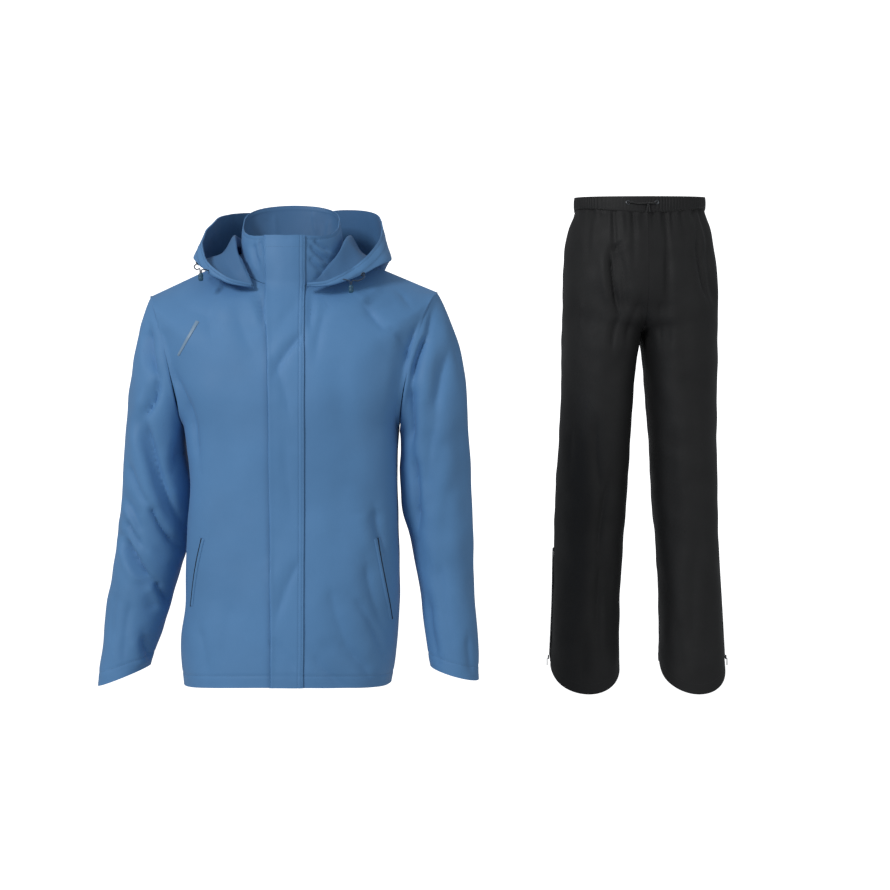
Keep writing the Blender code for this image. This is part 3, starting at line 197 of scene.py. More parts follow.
def softened(points, levels, at, reach, start=False, end=False):
    """Evens out a change of slope round one level, and leaves the sewn sides as they are."""
    near = np.exp(-((levels - at) / reach)**2)[:, None] * held(points.shape, start=start, end=end, reach=0.10)
    return points + (evened(points, 40) - points) * near[..., None]


def rumpled(points, size, depth, seed):
    """Slight unevenness that all worn cloth has: a sum of a few sine waves in different directions, in metres."""
    waves = np.random.default_rng(seed)
    total = np.zeros(points.shape[:-1])
    for _ in range(7):
        way = unit(waves.normal(size=3))
        total += np.sin(points @ way * (2 * math.pi / (size * waves.uniform(0.6, 1.7))) + waves.uniform(0, 6.28))
    return depth * total / 3


print("crease helpers ready")

# %% [markdown]
# A shell of cloth is two grids: its outer skin and, one thickness in, its inner skin. The strips that join their
# rims close it, so it has no open edge and no end without a face. The map from the cloth's surface to the pattern
# is kept in metres, so that weave and stitching have their real size on every panel.
#
# %% Shells

CLOTH_THICK = 0.0011
SEAM_GAP = 0.0003


def shell(name, outer, inner, closed=False):
    """A closed mesh between two equal grids. Face corners are worked out as whole arrays of indices."""
    rows, cols = outer.shape[:2]
    count = rows * cols
    last = cols if closed else cols - 1
    r, c = np.meshgrid(np.arange(rows - 1), np.arange(last), indexing="ij")
    a, b = r * cols + c, r * cols + (c + 1) % cols
    quads = np.stack([a, b, b + cols, a + cols], axis=-1).reshape(-1, 4)
    c = np.arange(last)
    rim = []
    for row, turn in ((0, False), (rows - 1, True)):
        a, b = row * cols + c, row * cols + (c + 1) % cols
        rim.append(np.stack([a, b, b + count, a + count][::1 if turn else -1], axis=-1))
    if not closed:
        r = np.arange(rows - 1)
        for col, turn in ((0, True), (last, False)):
            a, b = r * cols + col, (r + 1) * cols + col
            rim.append(np.stack([a, b, b + count, a + count][::1 if turn else -1], axis=-1))
    faces = np.concatenate([quads, (quads + count)[:, ::-1], *rim])
    points = np.concatenate([outer.reshape(-1, 3), inner.reshape(-1, 3)])
    p = [points[faces[:, k]] for k in range(4)]
    volume = (np.cross(p[0], p[1]) * p[2]).sum() + (np.cross(p[0], p[2]) * p[3]).sum()
    faces = faces if volume > 0 else faces[:, ::-1]
    mesh = bpy.data.meshes.new(name)
    mesh.from_pydata(points.tolist(), [], faces.tolist())
    reach_u = np.concatenate([np.zeros((rows, 1)), np.linalg.norm(np.diff(outer, axis=1), axis=-1)], axis=1)
    reach_v = np.concatenate([np.zeros((1, cols)), np.linalg.norm(np.diff(outer, axis=0), axis=-1)], axis=0)
    flat = np.stack([reach_u.cumsum(axis=1), -reach_v.cumsum(axis=0)], axis=-1).reshape(-1, 2)
    flat = np.concatenate([flat, flat])
    corners = np.zeros(len(mesh.loops), np.int64)
    mesh.loops.foreach_get("vertex_index", corners)
    layer = mesh.uv_layers.new(name="cloth_metres")
    layer.data.foreach_set("uv", flat[corners].astype(np.float32).ravel())
    inside = mesh.attributes.new("inner_side", "FLOAT", "POINT")
    inside.data.foreach_set("value", np.repeat([0.0, 1.0], count).astype(np.float32))
    mesh.shade_smooth()
    mesh.set_sharp_from_angle(angle=math.radians(50))
    obj = bpy.data.objects.new(name, mesh)
    bpy.context.scene.collection.objects.link(obj)
    return obj


def drawn_in(points, top=False, bottom=False, start=False, end=False, gap=SEAM_GAP / 2):
    """Draws sewn edges in by half the seam's gap, along the cloth."""
    out = points.copy()
    if top:
        out[0] += gap * unit(points[1] - points[0])
    if bottom:
        out[-1] += gap * unit(points[-2] - points[-1])
    if start:
        out[:, 0] += gap * unit(points[:, 1] - points[:, 0])
    if end:
        out[:, -1] += gap * unit(points[:, -2] - points[:, -1])
    return out


def from_edges(points):
    """How far each point of a grid lies from each of its four edges, along the cloth."""
    rows, cols = points.shape[:2]
    across = np.linalg.norm(np.diff(points, axis=1), axis=-1)
    down = np.linalg.norm(np.diff(points, axis=0), axis=-1)
    start = np.concatenate([np.zeros((rows, 1)), across.cumsum(axis=1)], axis=1)
    top = np.concatenate([np.zeros((1, cols)), down.cumsum(axis=0)], axis=0)
    return {"start": start, "end": start[:, -1:] - start, "top": top, "bottom": top[-1:] - top}


def pressed(points, normals, marks):
    """Presses lines into the cloth along its edges: each mark is (edge, how far in, depth, half width)."""
    far = from_edges(points)
    depth = sum(deep * np.exp(-((far[edge] - at) / wide)**2) for edge, at, deep, wide in marks)
    return points - normals * depth[..., None]


SEAM_ROLL = (0.0, 0.0014, 0.0045)


def line_at(grid, edge, distance):
    """The line on a grid that runs at a distance from one of its edges, with its normals."""
    points, normals = grid
    far = from_edges(points)[edge]
    if edge in ("top", "bottom"):
        points, normals, far = (np.swapaxes(a, 0, 1) for a in (points, normals, far))
    if edge in ("bottom", "end"):
        points, normals, far = points[:, ::-1], normals[:, ::-1], far[:, ::-1]
    k = np.clip((far < distance).sum(axis=1), 1, far.shape[1] - 1)
    row = np.arange(len(far))
    share = ((distance - far[row, k - 1]) / (far[row, k] - far[row, k - 1]))[:, None]
    return [a[row, k - 1] * (1 - share) + a[row, k] * share for a in (points, normals)]


def dress(obj, node, finish, slot_name, body=SUIT):
    """The piece stands for its node, rides on its body and takes its finish."""
    obj.data.materials.append(finish)
    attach(obj, body)
    for one in ([node] if isinstance(node, str) else node):
        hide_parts(one)
    return obj


print("shell helpers ready")

# %% [markdown]
# ## Finishes
# The jacket's cloth is a polyester plain weave with a thin coat of polyurethane on its inner side. Dyed yarn gives an
# even, matt blue. The inside is coloured a darker blue. The coat makes it smoother and gives the outside its faint
# papery crumple. Coated polyester reflects as most plastics do, with an index of refraction near 1.5 and no metal.
#
# %% Colour and node helpers

def linear(code):
    """A colour code as measured on a screen, such as "577ea7", as the linear numbers that a shader works in."""
    parts = [int(code[k:k + 2], 16) / 255 for k in (0, 2, 4)]
    return (*[p / 12.92 if p <= 0.04045 else ((p + 0.055) / 1.055)**2.4 for p in parts], 1.0)


def add(tree, kind, values=None, **settings):
    """Adds a node: its settings, then the values of its sockets, each a number or another node's output."""
    made = tree.nodes.new("ShaderNode" + kind)
    for name, value in settings.items():
        setattr(made, name, value)
    for key, value in (values or {}).items():
        if isinstance(value, bpy.types.NodeSocket):
            tree.links.new(value, made.inputs[key])
        else:
            made.inputs[key].default_value = value
    return made


def mixed(tree, factor, first, second):
    """A colour between two, by a factor."""
    return add(tree, "Mix", {0: factor, 6: first, 7: second}, data_type="RGBA").outputs[2]


def noise(tree, place, scale, detail=3.0, rough=0.5):
    """Cloudy noise, with its clouds about 1/scale metres across."""
    values = {"Vector": place, "Scale": scale, "Detail": detail, "Roughness": rough}
    return add(tree, "TexNoise", values).outputs["Fac"]


def ramp(tree, factor, low, high, start=0.0, end=1.0):
    """A number that runs evenly from start to end while the factor runs from low to high."""
    values = {"Value": factor, "From Min": low, "From Max": high, "To Min": start, "To Max": end}
    return add(tree, "MapRange", values).outputs["Result"]


def new_material(name, **values):
    """A material whose main shader has the given plain values."""
    mat = bpy.data.materials.new(name)
    mat.use_nodes = True
    shader = mat.node_tree.nodes["Principled BSDF"]
    for key, value in values.items():
        shader.inputs[key.replace("_", " ")].default_value = value
    return mat, mat.node_tree, shader


def bump(tree, shader, layers):
    """Raises the surface by several heights, each (height, metres, strength), one on top of the other."""
    last = None
    for height, distance, strength in layers:
        values = {"Height": height, "Distance": distance, "Strength": strength}
        if last is not None:
            values["Normal"] = last
        last = add(tree, "Bump", values).outputs["Normal"]
    tree.links.new(last, shader.inputs["Normal"])


print("node helpers ready")

# %% [markdown]
# The weave is drawn coarser than the real one. A rain suit's yarns lie about 0.2 mm apart, which a picture at this
# size can't hold, so the crossed ribs here are 1.1 mm apart and very low. They follow the cloth's own directions,
# because the map of each panel is in metres. The crumple comes from two sizes of noise in space.
#
# %% Coated cloth
WEAVE_PITCH = 0.0011


def weave(tree, pitch):
    """Crossed ribs at an even pitch along the cloth's map: a wave runs once in 2 pi / 20 of a unit at scale 1."""
    sewn = add(tree, "UVMap", uv_map="cloth_metres").outputs["UV"]
    scale = 2 * math.pi / 20 / pitch
    ribs = [add(tree, "TexWave", {"Vector": sewn, "Scale": scale}, bands_direction=way).outputs["Fac"]
            for way in ("X", "Y")]
    return add(tree, "Math", {0: ribs[0], 1: ribs[1]}, operation="MULTIPLY").outputs[0]


def coated_cloth(name, light, deep, inside, roughness, crumple, sheen=0.10):
    """A coated weave: its colour drifts slightly between light and deep, and is another one on the inner side."""
    mat, tree, shader = new_material(name, IOR=1.5, Sheen_Weight=sheen, Sheen_Roughness=0.45)
    place = add(tree, "TexCoord").outputs["Object"]
    drift = ramp(tree, noise(tree, place, 6.0, 4.0), 0.35, 0.65)
    fleck = ramp(tree, noise(tree, place, 420.0, 2.0), 0.3, 0.7, 0.0, 0.22)
    base = mixed(tree, drift, linear(light), linear(deep))
    base = mixed(tree, fleck, base, linear(deep))
    side = add(tree, "Attribute", attribute_name="inner_side").outputs["Fac"]
    tree.links.new(mixed(tree, side, base, linear(inside)), shader.inputs["Base Color"])
    worn = ramp(tree, noise(tree, place, 14.0, 5.0), 0.3, 0.7, roughness - 0.06, roughness + 0.05)
    tree.links.new(worn, shader.inputs["Roughness"])
    broad = noise(tree, place, 22.0, 3.0, 0.45)
    fine = noise(tree, place, 130.0, 4.0, 0.6)
    bump(tree, shader, [(broad, 0.0016 * crumple, 0.55), (fine, 0.0003 * crumple, 0.5),
                        (weave(tree, WEAVE_PITCH), 0.00012, 0.35)])
    return mat


blue_cloth = coated_cloth("blue_coated_polyester", "5b8fc3", "5486b8", "4674a3", 0.66, 1.0)
black_cloth = coated_cloth("black_coated_polyester", "121213", "0f0f10", "0d0d0e", 0.70, 1.3, 0.02)
print("cloths:", blue_cloth.name, black_cloth.name)

# %% [markdown]
# Sewing thread is polyester too, a shade deeper than the cloth. The cords are a round braid, so their bump is a
# set of slanting ribs. Zip tape is a fine twill, and the zip's teeth and the stoppers are moulded acetal, a plastic
# that comes out of its mould with a low gloss. Eyelets, sliders and pull tabs are zinc alloy and brass, plated and
# tumbled, which rounds their edges and leaves them satin.
#
# %% Thread, cord, plastic and metal

def braid(name, light, deep, pitch):
    """A braided cord: slanting ribs from waves in space, with a painted highlight on their tops and painted shade in
    the grooves between.
    """
    mat, tree, shader = new_material(name, Roughness=0.7, IOR=1.5, Sheen_Weight=0.2)
    place = add(tree, "TexCoord").outputs["Object"]
    scale = 2 * math.pi / 20 / pitch
    values = {"Vector": place, "Scale": scale, "Distortion": 1.5, "Detail": 1.0}
    ribs = add(tree, "TexWave", values, bands_direction="DIAGONAL").outputs["Fac"]
    # painted shade and highlight: the colour follows the ribs' relief, deep in the grooves and light on the tops
    tree.links.new(mixed(tree, ribs, linear(deep), linear(light)), shader.inputs["Base Color"])
    bump(tree, shader, [(ribs, 0.0003, 0.6)])
    return mat


def moulded(name, colour, deep, roughness):
    """A moulded plastic: an even colour, a faint mould grain and a slightly uneven gloss."""
    mat, tree, shader = new_material(name, IOR=1.48)
    place = add(tree, "TexCoord").outputs["Object"]
    cloud = noise(tree, place, 60.0)
    tree.links.new(mixed(tree, cloud, linear(deep), linear(colour)), shader.inputs["Base Color"])
    gloss = ramp(tree, noise(tree, place, 180.0), 0.3, 0.7, roughness - 0.05, roughness + 0.08)
    tree.links.new(gloss, shader.inputs["Roughness"])
    bump(tree, shader, [(noise(tree, place, 2500.0), 0.00004, 0.4)])
    return mat


def plated(name, colour, worn, roughness):
    """A plated and tumbled metal: satin, with tiny dents and spots where the plating has worn."""
    mat, tree, shader = new_material(name, Metallic=1.0)
    place = add(tree, "TexCoord").outputs["Object"]
    spots = ramp(tree, noise(tree, place, 900.0, 4.0, 0.7), 0.5, 0.7)
    tree.links.new(mixed(tree, spots, linear(colour), linear(worn)), shader.inputs["Base Color"])
    gloss = ramp(tree, noise(tree, place, 500.0), 0.3, 0.7, roughness - 0.08, roughness + 0.1)
    tree.links.new(gloss, shader.inputs["Roughness"])
    bump(tree, shader, [(noise(tree, place, 1400.0), 0.00006, 0.5)])
    return mat


blue_thread = braid("blue_sewing_thread", "5580a8", "335578", 0.0012)
black_thread = braid("black_sewing_thread", "2a2a2b", "101011", 0.0012)
blue_cord = braid("blue_braided_cord", "2c4c6d", "12263a", 0.0009)
black_cord = braid("black_braided_cord", "2a2a2b", "0c0c0d", 0.0009)
zip_tape = braid("black_zip_tape", "222223", "121213", 0.0008)
zip_teeth = moulded("moulded_zip_teeth", "1b1b1d", "101012", 0.35)
blue_zip_teeth = moulded("blue_moulded_zip_teeth", "27435f", "1a3046", 0.35)
blue_plastic = moulded("blue_moulded_plastic", "2f6280", "224a63", 0.36)
dark_metal = plated("dark_plated_metal", "55585c", "8a8c8e", 0.32)
# painted shade: a near-black blue that stands in for the shadow inside each pocket's slit, laid on as a strip
blue_shadow = moulded("painted_pocket_slit_shade", "16283c", "101e2e", 0.8)
pale_tape = moulded("pale_reflective_tape", "86a3bd", "7a98b4", 0.42)
print("trims ready")

# %% [markdown]
# ## The jacket's measurements
# All lengths are in metres. The middle of the neck is the origin, the front faces -Y, and left and right are the
# wearer's. Level 0 is the neck seam, 1 the shoulder tip, 2 the armpit and 3 the hem, so one number says how far
# down the cloth a row lies on every panel. A maker's pattern has the same landmarks.
#
# %% Jacket tables
ZIP_HALF_GAP = 0.0030
NECK_SIDE = (0.086, 0.006, 0.024)
SIDE_SEAM_Y = 0.008
PIT_Z = -0.285
SIDE_HEM_Z = -0.728
ARMHOLE_DEPTH = 0.075
ARMHOLE_EGG = 0.18
ARMHOLE_INSET = 0.011
COLLAR_LEAN = -0.004
WEARERS_LEFT = {"name": "left", "sign": 1, "tip": (0.2522, 0.004, -0.046), "pit": (0.1865, 0.006, PIT_Z)}
WEARERS_RIGHT = {"name": "right", "sign": -1, "tip": (0.2485, 0.004, -0.053), "pit": (0.1865, 0.006, PIT_Z)}
SIDES = (WEARERS_LEFT, WEARERS_RIGHT)
FRONT_MID = table("level y z reach", [
    (0.0, -0.081, -0.048, 0.048),
    (0.5, -0.097, -0.085, 0.085),
    (1.0, -0.111, -0.128, 0.125),
    (1.5, -0.125, -0.205, 0.132),
    (2.0, -0.130, -0.298, 0.128),
    (2.3, -0.126, -0.420, 0.120),
    (2.6, -0.130, -0.550, 0.125),
    (3.0, -0.136, -0.7137, 0.128),
])
FRONT_EDGE = table("level x y z", [
    (0.0, 0.004, -0.045, -0.046),
    (0.5, -0.010, -0.082, -0.046),
    (1.0, -0.026, -0.080, -0.050),
    (1.25, -0.042, -0.048, -0.030),
    (1.5, -0.060, -0.034, -0.006),
    (1.75, -0.042, -0.052, 0.000),
    (2.0, 0.000, -0.082, 0.000),
    (3.0, 0.000, -0.086, 0.000),
])
BACK_MID = table("level y z reach", [
    (0.0, 0.060, 0.030, 0.046),
    (0.5, 0.080, 0.000, 0.080),
    (1.0, 0.098, -0.060, 0.120),
    (1.5, 0.116, -0.165, 0.140),
    (2.0, 0.120, -0.290, 0.132),
    (2.3, 0.110, -0.420, 0.115),
    (2.6, 0.113, -0.555, 0.120),
    (3.0, 0.128, -0.738, 0.124),
])
BACK_EDGE = table("level x y z", [
    (0.0, 0.002, 0.034, 0.004),
    (0.5, -0.008, 0.052, -0.004),
    (1.0, -0.024, 0.066, -0.020),
    (1.25, -0.044, 0.040, -0.014),
    (1.5, -0.062, 0.026, -0.004),
    (1.75, -0.044, 0.046, 0.000),
    (2.0, 0.000, 0.078, 0.000),
    (3.0, 0.000, 0.082, 0.000),
])
BODY_SIDE = table("z half lean", [
    (-0.7280, 0.1800, -0.0080),
    (-0.6900, 0.1855, -0.0065),
    (-0.6460, 0.1875, -0.0045),
    (-0.5900, 0.1840, 0.0015),
    (-0.5200, 0.1815, 0.0026),
    (-0.4500, 0.1775, 0.0036),
    (-0.3800, 0.1745, 0.0044),
    (-0.3300, 0.1785, 0.0020),
    (-0.2850, 0.1865, 0.0000),
    (-0.1500, 0.1900, 0.0000),
])
SLEEVE_LEFT = table("along x_in z_in x_out z_out y depth bow", [
    (0.00, 0.1865, -0.285, 0.2522, -0.046, 0.005, 0.075, 1.0),
    (0.10, 0.1895, -0.300, 0.2815, -0.110, 0.006, 0.078, 0.7),
    (0.20, 0.1890, -0.325, 0.3010, -0.188, 0.008, 0.077, 0.3),
    (0.32, 0.1875, -0.362, 0.3080, -0.285, 0.012, 0.074, 0.0),
    (0.46, 0.1900, -0.418, 0.3125, -0.390, 0.017, 0.070, 0.0),
    (0.60, 0.2070, -0.492, 0.3155, -0.488, 0.020, 0.065, 0.0),
    (0.74, 0.2200, -0.560, 0.3172, -0.558, 0.017, 0.059, 0.0),
    (0.88, 0.2300, -0.640, 0.3235, -0.638, 0.009, 0.053, 0.0),
    (1.00, 0.2400, -0.700, 0.3255, -0.724, 0.000, 0.048, 0.0),
])
SLEEVE_RIGHT = table("along x_in z_in x_out z_out y depth bow", [
    (0.00, 0.1865, -0.285, 0.2485, -0.053, 0.005, 0.075, 1.0),
    (0.10, 0.1895, -0.300, 0.2690, -0.118, 0.006, 0.077, 0.7),
    (0.20, 0.1888, -0.325, 0.2815, -0.192, 0.008, 0.077, 0.3),
    (0.32, 0.1855, -0.362, 0.2925, -0.285, 0.012, 0.075, 0.0),
    (0.46, 0.1815, -0.418, 0.3010, -0.388, 0.017, 0.072, 0.0),
    (0.60, 0.1915, -0.495, 0.3115, -0.492, 0.020, 0.067, 0.0),
    (0.74, 0.2080, -0.562, 0.3215, -0.560, 0.017, 0.060, 0.0),
    (0.88, 0.2315, -0.640, 0.3312, -0.634, 0.009, 0.053, 0.0),
    (1.00, 0.2500, -0.700, 0.3395, -0.734, 0.000, 0.049, 0.0),
])
COLLAR_TOP = table("turn spread z", [
    (0.00, 0.96, 0.038),
    (0.30, 0.97, 0.045),
    (0.50, 0.97, 0.066),
    (0.70, 0.99, 0.102),
    (1.00, 1.02, 0.121),
])
HOOD_RIGHT = table("turn seam_o seam_u crest_o crest_u floor_o floor_u belly_o belly_u rim_o rim_u", [
    (37.0, 0.093, -0.052, 0.094, -0.048, 0.096, -0.049, 0.098, -0.048, 0.099, -0.044),
    (48.0, 0.096, -0.034, 0.097, -0.020, 0.108, -0.040, 0.124, -0.044, 0.126, -0.036),
    (62.0, 0.097, -0.006, 0.098, 0.008, 0.115, -0.016, 0.149, -0.024, 0.147, -0.010),
    (80.0, 0.096, 0.026, 0.098, 0.040, 0.122, 0.013, 0.168, 0.004, 0.153, 0.032),
    (100.0, 0.098, 0.032, 0.103, 0.052, 0.126, 0.008, 0.168, 0.010, 0.148, 0.072),
    (122.0, 0.095, 0.034, 0.104, 0.048, 0.140, -0.050, 0.176, 0.000, 0.154, 0.100),
    (148.0, 0.080, 0.036, 0.094, 0.040, 0.152, -0.120, 0.190, -0.030, 0.154, 0.114),
    (180.0, 0.074, 0.036, 0.086, 0.038, 0.158, -0.150, 0.196, -0.045, 0.152, 0.114),
])
HOOD_LEFT = table("turn seam_o seam_u crest_o crest_u floor_o floor_u belly_o belly_u rim_o rim_u", [
    (22.0, 0.091, -0.052, 0.092, -0.048, 0.094, -0.049, 0.096, -0.048, 0.097, -0.044),
    (38.0, 0.094, -0.042, 0.095, -0.030, 0.100, -0.043, 0.112, -0.048, 0.112, -0.040),
    (56.0, 0.095, -0.012, 0.097, 0.004, 0.112, -0.022, 0.136, -0.034, 0.134, -0.016),
    (80.0, 0.094, 0.026, 0.097, 0.042, 0.124, 0.012, 0.170, 0.000, 0.150, 0.030),
    (102.0, 0.096, 0.032, 0.102, 0.052, 0.128, 0.008, 0.172, 0.012, 0.158, 0.072),
    (122.0, 0.093, 0.034, 0.102, 0.048, 0.140, -0.050, 0.178, 0.004, 0.164, 0.104),
    (150.0, 0.078, 0.036, 0.092, 0.040, 0.152, -0.120, 0.190, -0.028, 0.156, 0.120),
    (180.0, 0.074, 0.036, 0.086, 0.038, 0.158, -0.150, 0.196, -0.045, 0.152, 0.114),
])
FLAP_EDGES = table("z left right", [
    (-0.740, -0.0210, 0.0328),
    (-0.570, -0.0226, 0.0333),
    (-0.400, -0.0249, 0.0336),
    (-0.274, -0.0262, 0.0339),
    (-0.174, -0.0288, 0.0332),
    (-0.070, -0.0352, 0.0298),
    (0.045, -0.0385, 0.0285),
])
SLEEVE_FOLDS = table("x0 z0 x1 z1 wide deep", [
    (-0.2560, -0.270, -0.2020, -0.455, 0.013, 0.0065),
    (-0.2850, -0.395, -0.2110, -0.510, 0.014, 0.0065),
    (-0.3010, -0.455, -0.2500, -0.565, 0.013, 0.0050),
    (-0.2480, -0.545, -0.2330, -0.600, 0.012, 0.0040),
    (-0.2570, -0.110, -0.2350, -0.250, 0.013, 0.0040),
    (0.2700, -0.140, 0.2300, -0.330, 0.016, 0.0040),
    (0.2650, -0.300, 0.2350, -0.440, 0.014, 0.0030),
])
BODY_FOLDS = table("x0 z0 x1 z1 wide deep", [
    (-0.0720, -0.050, -0.0430, -0.130, 0.012, 0.0030),
    (-0.2150, -0.120, -0.1900, -0.215, 0.014, 0.0040),
    (0.1250, -0.075, 0.1950, -0.190, 0.015, 0.0035),
    (0.0600, -0.640, 0.1500, -0.690, 0.014, 0.0025),
    (0.2000, -0.100, 0.1750, -0.300, 0.013, 0.0040),
])
print("jacket tables ready")

# %% [markdown]
# The form functions read these tables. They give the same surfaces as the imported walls, on any number of rows and
# columns, so that the creased shells lie where the checked solids are.
#
# %% Forms of the jacket

def armhole(side, turn, face):
    """The armhole from the shoulder tip (turn 0) down to the armpit (turn pi), bowed in towards the chest."""
    tip, pit = np.array(side["tip"]), np.array(side["pit"])
    middle, half = (tip + pit) / 2, (tip - pit) / 2
    bow = np.sin(turn) * (1 - ARMHOLE_EGG * np.cos(turn))
    line = middle + half * np.cos(turn)[:, None]
    line[:, 1] += face * ARMHOLE_DEPTH * bow
    line[:, 0] -= ARMHOLE_INSET * np.sin(turn)**2
    return line

def torso_edge(side, level, face):
    """Shoulder seam, armhole and side seam, one after the other."""
    neck, tip = np.array(NECK_SIDE), np.array(side["tip"])
    shoulder = neck + (tip - neck) * np.clip(level, 0, 1)[:, None]
    hole = armhole(side, np.clip(level - 1, 0, 1) * math.pi, face)
    z = PIT_Z + (SIDE_HEM_Z - PIT_Z) * np.clip(level - 2, 0, 1)
    seam = np.stack([smooth(BODY_SIDE["z"], BODY_SIDE["half"], z), np.full(len(z), SIDE_SEAM_Y), z], axis=-1)
    seam[:, 1] += (side["pit"][1] - SIDE_SEAM_Y) * (level <= 2)
    return np.where((level <= 1)[:, None], shoulder, np.where((level <= 2)[:, None], hole, seam))

def lean_at(z):
    """How far the body leans to the wearer's left below the armpits; nothing above them."""
    return smooth(BODY_SIDE["z"], BODY_SIDE["lean"], np.clip(z, SIDE_HEM_Z, PIT_Z))

def half_torso(side, face, level, across):
    """Half of the front (face -1) or of the back (face +1), from the middle out to its edge."""
    mid_rows, edge_rows = (FRONT_MID, FRONT_EDGE) if face < 0 else (BACK_MID, BACK_EDGE)
    y, z, reach = column(mid_rows, "level", level, "y", "z", "reach").T
    start = np.stack([np.zeros(len(level)), y, z], axis=-1)
    sideways = np.stack([reach, np.zeros(len(level)), np.zeros(len(level))], axis=-1)
    hand = column(edge_rows, "level", level, "x", "y", "z")
    points = between(start, sideways, hand, torso_edge(side, level, face), across)
    if face < 0:
        points[..., 0] = np.maximum(points[..., 0], 0) + ZIP_HALF_GAP * (1 - across[None, :])
    points[..., 0] *= side["sign"]
    points[..., 0] += lean_at(points[..., 2])
    return points

def body_axis(points):
    """The line down the middle of the body, at each point's own height."""
    return points * np.array([0.0, 0.0, 0.92]) - np.array([0, 0, 0.06])

def soft_folds(points, normals, folds, calm=1.0, shift=0.0):
    """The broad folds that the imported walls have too: one bell across each line, as wide as its table says."""
    seen = np.clip(-normals[..., 1] * 2.0, 0, 1)
    depth = np.zeros(points.shape[:2])
    flat = points[..., [0, 2]] - np.array([shift, 0.0])
    for x0, z0, x1, z1, wide, deep in np.stack(list(folds.values()), axis=-1):
        start, run = np.array([x0, z0]), np.array([x1 - x0, z1 - z0])
        t = ((flat - start) @ run) / (run @ run)
        off = np.linalg.norm(flat - start - np.clip(t, 0, 1)[..., None] * run, axis=-1)
        ends = ease(np.clip(np.minimum(t, 1 - t) * 4 + 0.3, 0, 1))
        depth += deep * ends * np.exp(-(off / wide)**2)
    return points - normals * (depth * seen * calm)[..., None]


def spaced(*parts):
    """Rows or columns at uneven steps: each part is (start, end, how many), joined end to end."""
    runs = [np.linspace(a, b, n + 1) for a, b, n in parts]
    return np.concatenate([runs[0]] + [r[1:] for r in runs[1:]])


def under_flap(points, margin=0.004):
    """1 where the storm flap covers the fronts, and 0 from a few millimetres outside it."""
    z = np.clip(points[..., 2], -0.74, 0.045)
    left = smooth(FLAP_EDGES["z"], FLAP_EDGES["left"], z)
    right = smooth(FLAP_EDGES["z"], FLAP_EDGES["right"], z)
    outside = np.maximum(left - points[..., 0], points[..., 0] - right)
    return ease(1 - (outside + margin) / 0.012)


print("jacket forms ready")

# %% [markdown]
# ## Where the cloth creases
# The sleeves crease most, because the arm's inner side is shorter than its outer one and the cloth has to go
# somewhere. The longest creases start at the armpit and at the elbow. The fronts hang from the shoulders, so they
# only pull slightly towards the armholes, the pockets and the hem. The back has the same kinds in other places.
#
# %% Crease tables of the jacket
BODY_CREASES = table(CREASE, [
    (-0.0563, -0.049, -0.0282, -0.125, -0.0033, 0.0083, 0.0042),
    (-0.0860, -0.062, -0.0530, -0.161, 0.0050, 0.0132, 0.0014),
    (-0.1307, -0.051, -0.1191, -0.150, 0.0033, 0.0149, 0.0012),
    (-0.1918, -0.194, -0.1555, -0.317, -0.0050, 0.0099, 0.0036),
    (-0.1720, -0.232, -0.1455, -0.356, -0.0033, 0.0116, 0.0022),
    (0.0480, -0.040, 0.0420, -0.130, 0.0030, 0.0080, 0.0022),
    (0.0760, -0.060, 0.0520, -0.175, 0.0050, 0.0090, 0.0014),
    (0.1288, -0.075, 0.1768, -0.132, 0.0033, 0.0066, 0.0014),
    (0.1668, -0.112, 0.2115, -0.184, -0.0050, 0.0083, 0.0018),
    (0.1883, -0.051, 0.2065, -0.080, 0.0000, 0.0066, 0.0012),
    (0.2214, -0.108, 0.1982, -0.227, 0.0066, 0.0116, 0.0040),
    (0.1982, -0.227, 0.1850, -0.332, 0.0033, 0.0116, 0.0030),
    (0.0759, -0.546, 0.1123, -0.662, 0.0050, 0.0132, 0.0016),
    (0.1123, -0.565, 0.1652, -0.677, -0.0066, 0.0116, 0.0022),
    (0.0462, -0.657, 0.1090, -0.720, 0.0050, 0.0099, 0.0016),
    (0.0892, -0.637, 0.1453, -0.710, -0.0033, 0.0083, 0.0014),
    (0.1487, -0.419, 0.1652, -0.492, 0.0033, 0.0116, 0.0034),
    (0.1354, -0.505, 0.1718, -0.637, 0.0066, 0.0132, 0.0024),
    (-0.1455, -0.618, -0.1290, -0.710, -0.0033, 0.0116, 0.0014),
    (-0.0860, -0.571, -0.0960, -0.697, 0.0050, 0.0149, 0.0010),
    (0.0925, -0.158, 0.1123, -0.323, 0.0066, 0.0198, 0.0012),
    (-0.1141, -0.274, -0.1026, -0.505, -0.0066, 0.0231, 0.0010),
    (0.1007, -0.356, 0.0925, -0.505, 0.0033, 0.0198, 0.0010),
])
FLAP_CREASES = table(CREASE, [
    (0.0352, -0.127, -0.0155, -0.199, 0.0049, 0.0082, 0.0022),
    (-0.0204, -0.163, 0.0123, -0.274, -0.0033, 0.0098, 0.0010),
    (-0.0269, -0.497, -0.0204, -0.552, 0.0033, 0.0065, -0.0012),
    (0.0287, -0.503, -0.0106, -0.605, 0.0049, 0.0098, 0.0014),
    (-0.0237, -0.634, 0.0254, -0.693, -0.0033, 0.0082, 0.0012),
    (0.0025, -0.290, 0.0156, -0.438, 0.0033, 0.0131, 0.0008),
    (0.0221, -0.078, -0.0106, -0.114, 0.0016, 0.0065, 0.0012),
])
